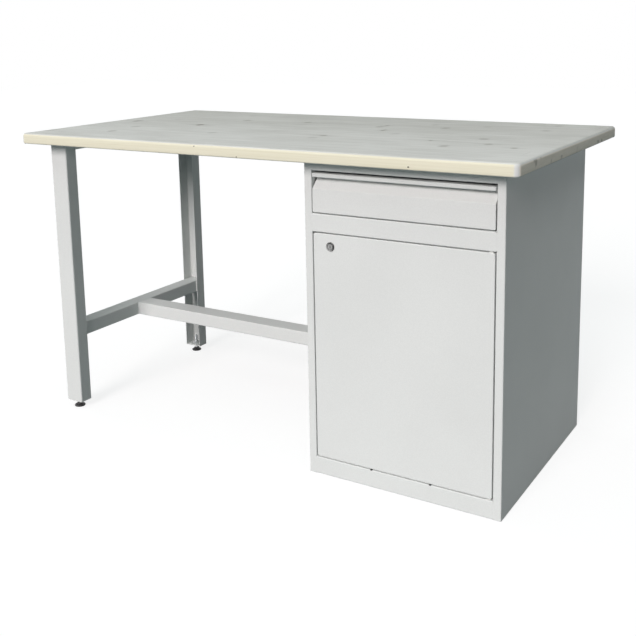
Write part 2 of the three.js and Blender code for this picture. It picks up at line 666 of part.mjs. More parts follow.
// Front folded from one sheet: flat face, a band that slants back for the fingers, and a pull lip on top
function makeDrawerFront() {
  const foldZ = DRAWER_TOP - GRIP_HEIGHT;
  const lipInside = DRAWER_TOP - SHEET;
  const lipBottom = DRAWER_TOP - LIP_HEIGHT + SHEET;
  const path = [
    [DRAWER_FLANGE, DRAWER_BOTTOM],
    [0, DRAWER_BOTTOM],
    [0, foldZ],
    [GRIP_DEPTH, foldZ + GRIP_RISE],
    [GRIP_DEPTH, lipInside],
    [SHEET, lipInside],
    [SHEET, lipBottom],
    [SHEET + LIP_HEM, lipBottom],
  ];
  const [left, right] = [OPENING_LEFT + DRAWER_LEFT_GAP, OPENING_RIGHT - DRAWER_RIGHT_GAP];
  const sheet = alongX(folded(path, SHEET), left, right);
  const profile = [[SHEET / 2, DRAWER_BOTTOM + SHEET / 2], [GRIP_DEPTH + SHEET, DRAWER_BOTTOM + SHEET / 2],
    [GRIP_DEPTH + SHEET, foldZ + GRIP_RISE], [GRIP_DEPTH, foldZ + GRIP_RISE - SHEET / 2],
    [SHEET / 2, foldZ - SHEET / 2]];
  const plate = new THREE.Shape(profile.map(([y, z]) => new THREE.Vector2(y, z)));
  const leftEnd = alongX(plate, left, left + SHEET);
  const rightEnd = alongX(plate, right - SHEET, right);
  const depth = [-SHEET, DRAWER_FLANGE + SHEET];
  const leftCorner = alongY(cornerTool(left, DRAWER_BOTTOM, DRAWER_CORNER_RADIUS, 1), ...depth);
  const rightCorner = alongY(cornerTool(right, DRAWER_BOTTOM, DRAWER_CORNER_RADIUS, -1), ...depth);
  return piece('drawer_front', cut(join(sheet, leftEnd, rightEnd), leftCorner, rightCorner), LIGHT_GREY);
}

// Tray with in-turned rims, its front wall carried up to meet the folded front
function makeDrawerBox() {
  const path = [
    [BOX_RIGHT - DRAWER_RIM, BOX_TOP],
    [BOX_RIGHT, BOX_TOP],
    [BOX_RIGHT, BOX_BOTTOM],
    [BOX_LEFT, BOX_BOTTOM],
    [BOX_LEFT, BOX_TOP],
    [BOX_LEFT + DRAWER_RIM, BOX_TOP],
  ];
  const trough = alongY(folded(path, DRAWER_SHEET), BOX_FRONT, DRAWER_BACK);
  const edge = DRAWER_SHEET / 2;
  const wall = (top, y) => {
    const corner = BEND_RADIUS + edge;
    const plate = roundedRectangle(BOX_LEFT + edge, BOX_BOTTOM + edge, BOX_RIGHT - edge, top, corner);
    return alongY(plate, y, y + DRAWER_SHEET);
  };
  const frontWall = wall(DRAWER_TOP - 2 * SHEET, BOX_FRONT);
  const backWall = wall(BOX_TOP - edge, DRAWER_BACK - DRAWER_SHEET);
  return piece('drawer_box', join(trough, frontWall, backWall), LIGHT_GREY);
}

// Door

const LOCK_X = DOOR_LEFT + LOCK_INSET;
const LOCK_Z = DOOR_TOP - LOCK_DROP;
const LOCK_HOLE_RADIUS = LOCK_BODY_RADIUS + FIT;

// Pressed pan with rounded edges and corners, its rim turned in at the back
function makeDoor() {
  const inset = (margin, radius) => roundedRectangle(DOOR_LEFT + margin, DOOR_BOTTOM + margin,
    DOOR_RIGHT - margin, DOOR_TOP - margin, radius);
  const stand = (geometry) => geometry.applyMatrix4(
    new THREE.Matrix4().set(1, 0, 0, 0, 0, 0, -1, DOOR_DEPTH, 0, 1, 0, 0, 0, 0, 0, 1));
  const blank = stand(easedBlock(inset(0, DOOR_CORNER_RADIUS), DOOR_DEPTH, DOOR_EDGE_RADIUS));
  const hollow = alongY(inset(SHEET, DOOR_CORNER_RADIUS - SHEET), SHEET, DOOR_DEPTH - SHEET);
  const mouth = alongY(inset(DOOR_LIP, DOOR_CORNER_RADIUS), DOOR_DEPTH / 2, DOOR_DEPTH + SHEET);
  const lockHole = alongY(circle(LOCK_X, LOCK_Z, LOCK_HOLE_RADIUS), -SHEET, DOOR_DEPTH / 2);
  const pinHole = circle(PIVOT_X, PIVOT_SETBACK, PIN_RADIUS + FIT);
  const topHole = alongZ(pinHole, DOOR_TOP - 2 * SHEET, DOOR_TOP + SHEET);
  const bottomHole = alongZ(pinHole, DOOR_BOTTOM - SHEET, DOOR_BOTTOM + 2 * SHEET);
  return piece('door', cut(blank, hollow, mouth, lockHole, topHole, bottomHole), LIGHT_GREY);
}

// Hat-section bar up the middle of the door's inside
function makeDoorStiffener() {
  const middle = (DOOR_LEFT + DOOR_RIGHT) / 2;
  const [left, right] = [middle - STIFFENER_WIDTH / 2, middle + STIFFENER_WIDTH / 2];
  const seat = SHEET + FIT;
  const crown = seat + STIFFENER_HEIGHT;
  const path = [[right + STIFFENER_FLANGE, seat], [right, seat], [right, crown], [left, crown], [left, seat],
    [left - STIFFENER_FLANGE, seat]];
  const ends = SHEET + FIT;
  const bar = alongZ(folded(path, DRAWER_SHEET), DOOR_BOTTOM + ends, DOOR_TOP - ends);
  return piece('door_stiffener', bar, LIGHT_GREY);
}

// Pivot pin fixed in the door, with a bush in the rail; up is +1 for the top pair and -1 for the bottom pair
function makePivot(name, doorEdge, railFace, up) {
  const at = (base, distance) => base + up * distance;
  const headFace = at(doorEdge, -SHEET - FIT);
  const pin = [[0, at(headFace, -PIN_HEAD)], [PIN_HEAD_RADIUS, at(headFace, -PIN_HEAD)],
    [PIN_HEAD_RADIUS, headFace], [PIN_RADIUS, headFace], [PIN_RADIUS, at(railFace, PIN_REACH)],
    [0, at(railFace, PIN_REACH)]];
  const collarFace = at(railFace, -FIT);
  const collarEnd = at(doorEdge, FIT);
  const sleeveEnd = at(railFace, PIN_REACH);
  const collarRadius = BUSH_HOLE_RADIUS + BUSH_COLLAR;
  const bush = [[BUSH_BORE, collarEnd], [collarRadius, collarEnd], [collarRadius, collarFace],
    [BUSH_RADIUS, collarFace], [BUSH_RADIUS, sleeveEnd], [BUSH_BORE, sleeveEnd], [BUSH_BORE, collarEnd]];
  return [
    piece(`door_pin_${name}`, turnedUpright(pin, PIVOT_X, PIVOT_SETBACK), ZINC),
    piece(`door_bush_${name}`, turnedUpright(bush, PIVOT_X, PIVOT_SETBACK), NYLON),
  ];
}

// Rubber buffers on the stop lip, which the closed door meets
function makeBumper(name, x) {
  const disc = circle(x, FLOOR_FACE + BUMPER_RADIUS, BUMPER_RADIUS);
  return piece(name, alongY(disc, DOOR_DEPTH + FIT, STOP_LIP_FRONT - FIT), RUBBER);
}

// Lock, turned about an axis along Y and moved to its place in the door
function lockTurned(profile) {
  return turned(profile).translate(LOCK_X, 0, LOCK_Z);
}

function makeLock() {
  const flangeBack = -FIT;
  const flangeFront = flangeBack - LOCK_FLANGE;
  const bore = LOCK_PLUG_RADIUS + FIT;
  const chamfer = LOCK_FLANGE / 3;
  const housing = [
    [bore, flangeFront],
    [LOCK_FLANGE_RADIUS - chamfer, flangeFront],
    [LOCK_FLANGE_RADIUS, flangeFront + chamfer],
    [LOCK_FLANGE_RADIUS, flangeBack],
    [LOCK_BODY_RADIUS, flangeBack],
    [LOCK_BODY_RADIUS, LOCK_BODY_LENGTH],
    [bore, LOCK_BODY_LENGTH],
    [bore, flangeFront],
  ];
  const plugFront = flangeFront + FIT;
  const plugBack = LOCK_BODY_LENGTH + FIT;
  const plug = [[0, plugFront], [LOCK_PLUG_RADIUS, plugFront], [LOCK_PLUG_RADIUS, plugBack], [0, plugBack]];
  const keyway = rectangle(LOCK_X - KEYWAY_WIDTH / 2, LOCK_Z - KEYWAY_HEIGHT / 2,
    LOCK_X + KEYWAY_WIDTH / 2, LOCK_Z + KEYWAY_HEIGHT / 2);
  const nut = hexagon(LOCK_X, LOCK_Z, LOCK_NUT_ACROSS_FLATS);
  nut.holes.push(circle(LOCK_X, LOCK_Z, LOCK_HOLE_RADIUS));
  const nutFront = SHEET + FIT;
  const keySlot = alongY(keyway, plugFront - FIT, plugFront + KEYWAY_DEPTH);
  const camFront = plugBack + FIT;
  const camCentre = LOCK_Z - CAM_LENGTH / 2 + CAM_WIDTH / 2;
  const cam = slot(LOCK_X, camCentre, CAM_LENGTH + CAM_WIDTH, CAM_WIDTH);
  return {
    fixed: [
      piece('lock_body', lockTurned(housing), LOCK_METAL),
      piece('lock_nut', alongY(nut, nutFront, nutFront + LOCK_NUT_HEIGHT), ZINC),
    ],
    turning: [
      piece('lock_plug', cut(lockTurned(plug), keySlot), LOCK_METAL),
      piece('lock_cam', alongY(cam, camFront, camFront + CAM_THICKNESS), ZINC),
    ],
  };
}

function makeCabinet() {
  const group = new THREE.Group();
  group.position.set(CABINET_LEFT, FRAME_FRONT, 0);
  group.add(...makeSides(), makeBack(), makeFloor(), ...makeFrontRails());
  group.add(...makeTopAngles(), ...makeShelf());
  group.add(makeRunnerSupport(false), makeRunnerSupport(true));

  const drawer = new THREE.Group();
  drawer.add(makeDrawerFront(), makeDrawerBox());
  drawer.add(...makeRunner(false), ...makeRunner(true));

  const door = new THREE.Group();
  const lock = makeLock();
  door.add(makeDoor(), makeDoorStiffener(), ...lock.fixed, ...lock.turning);
  door.add(...makePivot('top', DOOR_TOP, MID_RAIL_BOTTOM, 1));
  door.add(...makePivot('bottom', DOOR_BOTTOM, PLINTH_HEIGHT, -1));

  const middle = CABINET_WIDTH / 2;
  group.add(makeBumper('door_bumper_left', middle - BUMPER_SPACING / 2));
  group.add(makeBumper('door_bumper_right', middle + BUMPER_SPACING / 2));
  group.add(drawer, door);
  return group;
}

const bench = new THREE.Group();
bench.add(makeWorktop(), makeLegFrame(), ...makeStretcher(), makeCabinet());

export default bench;
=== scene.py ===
"""Looks of a workshop bench: a board worktop on a folded leg frame and a cabinet with a drawer and a door.

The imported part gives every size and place. This script dresses its solids and adds the small hardware
that they leave out: screws, bolts, rivets, weld beads, threads, buffers and the lock's face.
"""

import logging
import math
from abc import ABC, abstractmethod
from dataclasses import dataclass
from enum import Enum
from typing import Any, Callable, Optional, Protocol, Sequence

import bmesh
import bpy
from mathutils import Matrix, Vector


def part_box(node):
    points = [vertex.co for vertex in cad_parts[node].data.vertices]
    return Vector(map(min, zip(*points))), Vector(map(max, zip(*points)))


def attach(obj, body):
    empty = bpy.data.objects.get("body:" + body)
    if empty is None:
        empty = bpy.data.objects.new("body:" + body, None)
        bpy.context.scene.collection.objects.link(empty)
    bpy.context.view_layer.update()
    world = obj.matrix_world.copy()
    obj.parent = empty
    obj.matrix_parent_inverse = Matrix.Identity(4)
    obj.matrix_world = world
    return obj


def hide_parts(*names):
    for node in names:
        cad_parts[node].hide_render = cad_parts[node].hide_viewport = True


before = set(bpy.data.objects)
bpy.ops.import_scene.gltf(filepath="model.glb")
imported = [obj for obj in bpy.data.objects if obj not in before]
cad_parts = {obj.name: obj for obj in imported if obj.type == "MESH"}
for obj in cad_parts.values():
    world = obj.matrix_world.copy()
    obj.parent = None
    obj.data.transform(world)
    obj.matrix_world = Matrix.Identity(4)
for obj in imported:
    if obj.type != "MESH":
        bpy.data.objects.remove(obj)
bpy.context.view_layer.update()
LOG = logging.getLogger("bench")

MM = 0.001
FULL_TURN = 2 * math.pi
QUARTER_TURN = math.pi / 2
WHITE = (1.0, 1.0, 1.0)

Colour = tuple[float, float, float]
Point = tuple[float, float, float]
Line = tuple[Point, Point]
Span = tuple[float, float]
RadiusRule = Callable[[float], float]
Ring = tuple[float, float | RadiusRule]
Socket = bpy.types.NodeSocket


class Body(Enum):
    """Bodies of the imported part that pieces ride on."""

    BENCH = "bench"
    DRAWER = "drawer"
    DOOR = "cabinet_door"
    LOCK = "lock"
    FRONT_FOOT = "front_foot"
    REAR_FOOT = "rear_foot"


class Slot(Enum):
    """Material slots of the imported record."""

    BOARD = "board"
    PAINT = "grey_paint"
    ZINC = "zinc"
    PLASTIC = "black_plastic"
    RUBBER = "rubber"
    NYLON = "nylon"
    LOCK = "lock_metal"


class Facing(Enum):
    """Directions that a fastener's head points in."""

    DOWN = (0.0, 0.0, -1.0)
    FRONT = (0.0, -1.0, 0.0)
    BACK = (0.0, 1.0, 0.0)
    LEFT = (-1.0, 0.0, 0.0)
    RIGHT = (1.0, 0.0, 0.0)


Palette = dict[Slot, bpy.types.Material]


# Places


def middle_of(node: str) -> Vector:
    """Returns the middle of a node's box."""
    low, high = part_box(node)
    return (low + high) / 2


def radius_of(node: str) -> float:
    """Returns half the width of a node, which is a round one's radius."""
    low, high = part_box(node)
    return (high.x - low.x) / 2


def between(low: float, high: float, shares: Sequence[float]) -> list[float]:
    """Returns the places at given shares of the way from low to high."""
    return [low + (high - low) * share for share in shares]


def spaced(low: float, high: float, count: int) -> list[float]:
    """Returns evenly spaced places, the first at low and the last at high."""
    return between(low, high, [i / (count - 1) for i in range(count)])


def put(name: str, data: Any) -> bpy.types.Object:
    """Puts a new object into the scene.

    Args:
        name: The object's name.
        data: Its mesh, lamp or camera.

    Returns:
        The object.
    """
    piece = bpy.data.objects.new(name, data)
    bpy.context.scene.collection.objects.link(piece)
    return piece


# Node trees


def even(value: float) -> Point:
    """Returns three equal numbers, for a frequency or shift that is the same along each axis, or a grey."""
    return (value, value, value)


@dataclass(frozen=True)
class Pattern:
    """Random pattern: its frequency along each axis, its layers, and the range its noise is mapped to."""

    per_metre: Point
    detail: float = 2.0
    rough: float = 0.5
    start: float = 0.3
    end: float = 0.7
    low: float = 0.0
    high: float = 1.0


class NodeTree:
    """Tree of nodes, with short calls that add to it."""

    def __init__(self, tree: bpy.types.NodeTree) -> None:
        """Takes the tree that nodes are added to."""
        self.tree = tree

    def add(self, kind: str, inputs: Optional[dict] = None, **settings: Any) -> bpy.types.Node:
        """Adds a node.

        Args:
            kind: The node's type name.
            inputs: Values or sockets by input name or number.
            **settings: The node's own properties.

        Returns:
            The new node.
        """
        node = self.tree.nodes.new(kind)
        for key, value in settings.items():
            setattr(node, key, value)
        for key, value in (inputs or {}).items():
            if isinstance(value, Socket):
                self.tree.links.new(value, node.inputs[key])
            else:
                node.inputs[key].default_value = value
        return node

    def out(self, kind: str, inputs: Optional[dict] = None, **settings: Any) -> Socket:
        """Adds a node and returns its first output."""
        return self.add(kind, inputs, **settings).outputs[0]

    def math(self, operation: str, first: Any, second: Any = 0.0) -> Socket:
        """Adds a Math node and returns its result."""
        return self.out("ShaderNodeMath", {0: first, 1: second}, operation=operation)


class ShaderTree(NodeTree):
    """Node tree of one material, with short calls for the nodes that the finishes share."""

    edge_samples = 6
    edge_cosines: Span = (0.995, 0.9)

    def __init__(self, name: str) -> None:
        """Starts an empty material.

        Args:
            name: The material's name.
        """
        self.material = bpy.data.materials.new(name)
        self.material.use_nodes = True
        self.material.node_tree.nodes.clear()
        super().__init__(self.material.node_tree)

    def place(self) -> Socket:
        """Returns the Object coordinates, in metres."""
        return self.add("ShaderNodeTexCoord").outputs["Object"]

    def split(self, vector: Socket) -> Sequence[Socket]:
        """Returns a vector's three parts."""
        return self.add("ShaderNodeSeparateXYZ", {0: vector}).outputs

    def scaled(self, vector: Socket, scale: Point) -> Socket:
        """Returns a vector scaled along each axis."""
        return self.out("ShaderNodeMapping", {"Vector": vector, "Scale": scale})

    def distance(self, across: Socket, up: Socket) -> Socket:
        """Returns the length of a flat vector."""
        square = self.math("ADD", self.math("MULTIPLY", across, across), self.math("MULTIPLY", up, up))
        return self.math("SQRT", square)

    def ramp(self, value: Any, start: float, end: float, low: float = 0.0, high: float = 1.0) -> Socket:
        """Returns a value mapped smoothly, to low at start and before it, and to high at end and past it."""
        inputs = {0: value, 1: start, 2: end, 3: low, 4: high}
        return self.out("ShaderNodeMapRange", inputs, interpolation_type="SMOOTHSTEP")

    def noise(self, place: Socket, pattern: Pattern) -> Socket:
        """Returns a pattern's noise, from 0 to 1."""
        inputs = {"Vector": self.scaled(place, pattern.per_metre), "Scale": 1.0}
        return self.out("ShaderNodeTexNoise", inputs | {"Detail": pattern.detail, "Roughness": pattern.rough})

    def mapped(self, noise: Socket, pattern: Pattern) -> Socket:
        """Returns a noise in the range that a pattern gives it."""
        return self.ramp(noise, pattern.start, pattern.end, pattern.low, pattern.high)

    def mottle(self, place: Socket, pattern: Pattern) -> Socket:
        """Returns a pattern's noise in the range that the pattern gives it."""
        return self.mapped(self.noise(place, pattern), pattern)

    def spread(self, noise: Socket, span: Span) -> Socket:
        """Returns a noise whose usual range is mapped to a span."""
        return self.ramp(noise, Pattern.start, Pattern.end, *span)

    def blend(self, share: Any, first: Any, second: Any) -> Socket:
        """Mixes two colours.

        Args:
            share: Share of the second colour.
            first: Colour socket, or three numbers.
            second: Colour socket, or three numbers.

        Returns:
            The mixed colour.
        """
        colours = [c if isinstance(c, Socket) else (*c, 1.0) for c in (first, second)]
        inputs = {0: share, 6: colours[0], 7: colours[1]}
        return self.add("ShaderNodeMix", inputs, data_type="RGBA").outputs[2]

    def warped(self, place: Socket, per_metre: float, amount: float) -> Socket:
        """Shifts a place at random.

        Args:
            place: Where the surface is.
            per_metre: How fast the shift varies.
            amount: The widest spread of the shift, in metres.

        Returns:
            The shifted place.
        """
        noise = self.add("ShaderNodeTexNoise", {"Vector": place, "Scale": per_metre}).outputs["Color"]
        centred = self.out("ShaderNodeVectorMath", {0: noise, 1: even(0.5)}, operation="SUBTRACT")
        inputs = {0: centred, 1: even(amount), 2: place}
        return self.out("ShaderNodeVectorMath", inputs, operation="MULTIPLY_ADD")

    def soft_normal(self, radius: float) -> Socket:
        """Returns the normal with edges rounded to a radius in metres."""
        return self.out("ShaderNodeBevel", {"Radius": radius}, samples=self.edge_samples)

    def edge_highlight_mask(self, soft: Socket) -> Socket:
        """Marks rounded edges, where the painted edge highlight goes.

        Args:
            soft: The rounded normal.

        Returns:
            1 on a rounded edge and 0 on a flat face.
        """
        flat = self.add("ShaderNodeNewGeometry").outputs["True Normal"]
        inputs = {0: soft, 1: flat}
        cosine = self.add("ShaderNodeVectorMath", inputs, operation="DOT_PRODUCT").outputs["Value"]
        return self.ramp(cosine, *self.edge_cosines)

    def bump(self, height: Socket, depth: float, strength: float, normal: Optional[Socket] = None) -> Socket:
        """Raises a relief.

        Args:
            height: The relief, from 0 to 1.
            depth: Its depth, in metres.
            strength: How much of it shows.
            normal: The normal it starts from, if any.

        Returns:
            The new normal.
        """
        inputs = {"Height": height, "Distance": depth, "Strength": strength}
        if normal is not None:
            inputs["Normal"] = normal
        return self.out("ShaderNodeBump", inputs)

    def close(self, surface: Socket) -> bpy.types.Material:
        """Joins a surface to the material's output and returns the material."""
        self.add("ShaderNodeOutputMaterial", {"Surface": surface})
        return self.material

    def finish(
        self, colour: Socket, rough: Socket, normal: Socket, metal: float = 0.0, shine: float = 0.5
    ) -> bpy.types.Material:
        """Closes the tree with a Principled shader.

        Args:
            colour: The surface's colour.
            rough: Its roughness.
            normal: Its normal.
            metal: 1 for bare metal.
            shine: Its specular level.

        Returns:
            The finished material.
        """
        inputs = {"Base Color": colour, "Roughness": rough, "Normal": normal}
        inputs |= {"Metallic": metal, "Specular IOR Level": shine}
        return self.close(self.out("ShaderNodeBsdfPrincipled", inputs))


class MeshTree(NodeTree):
    """Geometry Nodes tree with named inputs, run once on a base mesh and kept as a plain mesh."""

    def __init__(self, name: str) -> None:
        """Starts a tree with a geometry input and output.

        Args:
            name: The tree's name.
        """
        super().__init__(bpy.data.node_groups.new(name, "GeometryNodeTree"))
        self.identifiers: dict[str, str] = {}
        for way in ("INPUT", "OUTPUT"):
            self.tree.interface.new_socket("Geometry", in_out=way, socket_type="NodeSocketGeometry")
        self.source = self.add("NodeGroupInput")
        self.sink = self.add("NodeGroupOutput")

    def value(self, name: str, kind: str) -> Socket:
        """Adds a named input.

        Args:
            name: The input's name.
            kind: Its socket type after "NodeSocket".

        Returns:
            The socket that carries it in the tree.
        """
        item = self.tree.interface.new_socket(name, in_out="INPUT", socket_type="NodeSocket" + kind)
        self.identifiers[name] = item.identifier
        return self.source.outputs[name]

    def close(self, geometry: Socket) -> None:
        """Ends the tree in real geometry with a material.

        Args:
            geometry: What the tree has made.
        """
        real = self.out("GeometryNodeRealizeInstances", {"Geometry": geometry})
        inputs = {"Geometry": real, "Material": self.value("Material", "Material")}
        self.tree.links.new(self.out("GeometryNodeSetMaterial", inputs), self.sink.inputs[0])

    def run(self, base: bpy.types.Mesh, values: dict[str, Any]) -> bpy.types.Mesh:
        """Runs the tree on a mesh.

        Args:
            base: The mesh that enters the tree.
            values: Every named input's value.

        Returns:
            A plain mesh of the result.
        """
        holder = put(base.name + "_holder", base)
        modifier = holder.modifiers.new("tree", "NODES")
        modifier.node_group = self.tree
        for name, value in values.items():
            modifier[self.identifiers[name]] = value
        evaluated = holder.evaluated_get(bpy.context.evaluated_depsgraph_get())
        mesh = bpy.data.meshes.new_from_object(evaluated)
        holder.modifiers.remove(modifier)
        bpy.data.objects.remove(holder)
        return mesh


class FastenerTree(MeshTree):
    """Sets one fastener on each point of a mesh, its head facing one way and turned at random."""

    def __init__(self) -> None:
        """Builds the tree."""
        super().__init__("fasteners_on_points")
        fastener = self.value("Fastener", "Object")
        facing = self.value("Facing", "Vector")
        seed = self.value("Seed", "Int")
        points = self.out("GeometryNodeMeshToPoints", {"Mesh": self.source.outputs["Geometry"]})
        shape = self.add("GeometryNodeObjectInfo", {"Object": fastener}).outputs["Geometry"]
        inputs = {2: 0.0, 3: FULL_TURN, "Seed": seed}
        spin = self.add("FunctionNodeRandomValue", inputs, data_type="FLOAT").outputs[1]
        turn = self.out("FunctionNodeAxisAngleToRotation", {"Axis": (0, 0, 1), "Angle": spin})
        aim = self.out("FunctionNodeAlignRotationToVector", {"Vector": facing}, axis="Z")
        inputs = {"Rotation": aim, "Rotate By": turn}
        rotation = self.out("FunctionNodeRotateRotation", inputs, rotation_space="LOCAL")
        inputs = {"Points": points, "Instance": shape, "Rotation": rotation}
        self.close(self.out("GeometryNodeInstanceOnPoints", inputs))


class WeldTree(MeshTree):
    """Lays a rippled weld bead along the edges of a mesh."""

    ripple_per_metre = 420.0
    ripple_noise: Span = (0.25, 0.75)
    section_sides = 10

    def __init__(self) -> None:
        """Builds the tree."""
        super().__init__("weld_beads")
        radius = self.value("Radius", "Float")
        step = self.value("Step", "Float")
        ripple = self.value("Ripple", "Float")
        curve = self.out("GeometryNodeMeshToCurve", {"Mesh": self.source.outputs["Geometry"]})
        line = self.out("GeometryNodeResampleCurve", {"Curve": curve, "Length": step}, mode="LENGTH")
        spot = self.out("GeometryNodeInputPosition")
        inputs = {"Vector": spot, "Scale": self.ripple_per_metre, "Detail": 1.0}
        noise = self.out("ShaderNodeTexNoise", inputs)
        start, end = self.ripple_noise
        low = self.math("SUBTRACT", 1.0, ripple)
        high = self.math("ADD", 1.0, ripple)
        size = self.out("ShaderNodeMapRange", {0: noise, 1: start, 2: end, 3: low, 4: high})
        inputs = {"Resolution": self.section_sides, "Radius": radius}
        section = self.out("GeometryNodeCurvePrimitiveCircle", inputs)
        inputs = {"Curve": line, "Profile Curve": section, "Scale": size, "Fill Caps": True}
        self.close(self.out("GeometryNodeCurveToMesh", inputs))


class ThreadTree(MeshTree):
    """Winds a screw thread round a core."""

    steps_per_turn = 24
    section_sides = 4

    def __init__(self) -> None:
        """Builds the tree."""
        super().__init__("stud_thread")
        turns = self.value("Turns", "Float")
        length = self.value("Length", "Float")
        radius = self.value("Root radius", "Float")
        ridge = self.value("Ridge", "Float")
        foot = self.value("Foot", "Vector")
        inputs = {"Resolution": self.steps_per_turn, "Rotations": turns, "Height": length}
        inputs |= {"Start Radius": radius, "End Radius": radius}
        helix = self.out("GeometryNodeCurveSpiral", inputs)
        upright = self.out("GeometryNodeSetCurveNormal", {"Curve": helix}, mode="Z_UP")
        inputs = {"Resolution": self.section_sides, "Radius": ridge}
        section = self.out("GeometryNodeCurvePrimitiveCircle", inputs)
        inputs = {"Curve": upright, "Profile Curve": section, "Fill Caps": True}
        wound = self.out("GeometryNodeCurveToMesh", inputs)
        placed = self.out("GeometryNodeTransform", {"Geometry": wound, "Translation": foot})
        both = self.add("GeometryNodeJoinGeometry", {0: placed})
        self.tree.links.new(self.source.outputs["Geometry"], both.inputs[0])
        self.close(both.outputs[0])


# Finishes


@dataclass(frozen=True)
class PowderCoat:
    """Satin powder coat with a fine peel, faint clouding and a painted highlight along its rounded edges."""

    colour: Colour = (0.705, 0.725, 0.712)
    cloud: float = 0.018
    clouds: Pattern = Pattern(even(3.5), detail=3.0)
    speck: Colour = (0.50, 0.52, 0.51)
    specks: Pattern = Pattern(even(380.0), rough=0.6, start=0.35, end=0.65, high=0.12)
    # painted highlight: the colour blended onto rounded edges
    edge: Colour = (0.86, 0.86, 0.85)
    edge_radius: float = 0.9 * MM
    edge_highlight_strength: float = 0.35
    peel: Pattern = Pattern(even(950.0), rough=0.55)
    peel_depth: float = 0.12 * MM
    peel_strength: float = 0.35
    gloss: Pattern = Pattern(even(25.0), detail=3.0, low=0.46, high=0.50)
    shine: float = 0.2

    def material(self) -> bpy.types.Material:
        """Makes the finish.

        Returns:
            The material.
        """
        tree = ShaderTree("grey_powder_coat")
        place = tree.place()
        soft = tree.soft_normal(self.edge_radius)
        dark, light = (tuple(c * share for c in self.colour) for share in (1 - self.cloud, 1 + self.cloud))
        film = tree.blend(tree.mottle(place, self.clouds), dark, light)
        film = tree.blend(tree.mottle(place, self.specks), film, self.speck)
        # painted highlight along rounded edges
        film = tree.blend(tree.math("MULTIPLY", tree.edge_highlight_mask(soft), self.edge_highlight_strength), film, self.edge)
        normal = tree.bump(tree.noise(place, self.peel), self.peel_depth, self.peel_strength, soft)
        return tree.finish(film, tree.mottle(place, self.gloss), normal, shine=self.shine)


@dataclass(frozen=True)
class Knot:
    """Small knot in the board: its place, length and width, in metres, and how dark, from 0 to 1."""

    x: float
    y: float
    length: float
    width: float
    dark: float


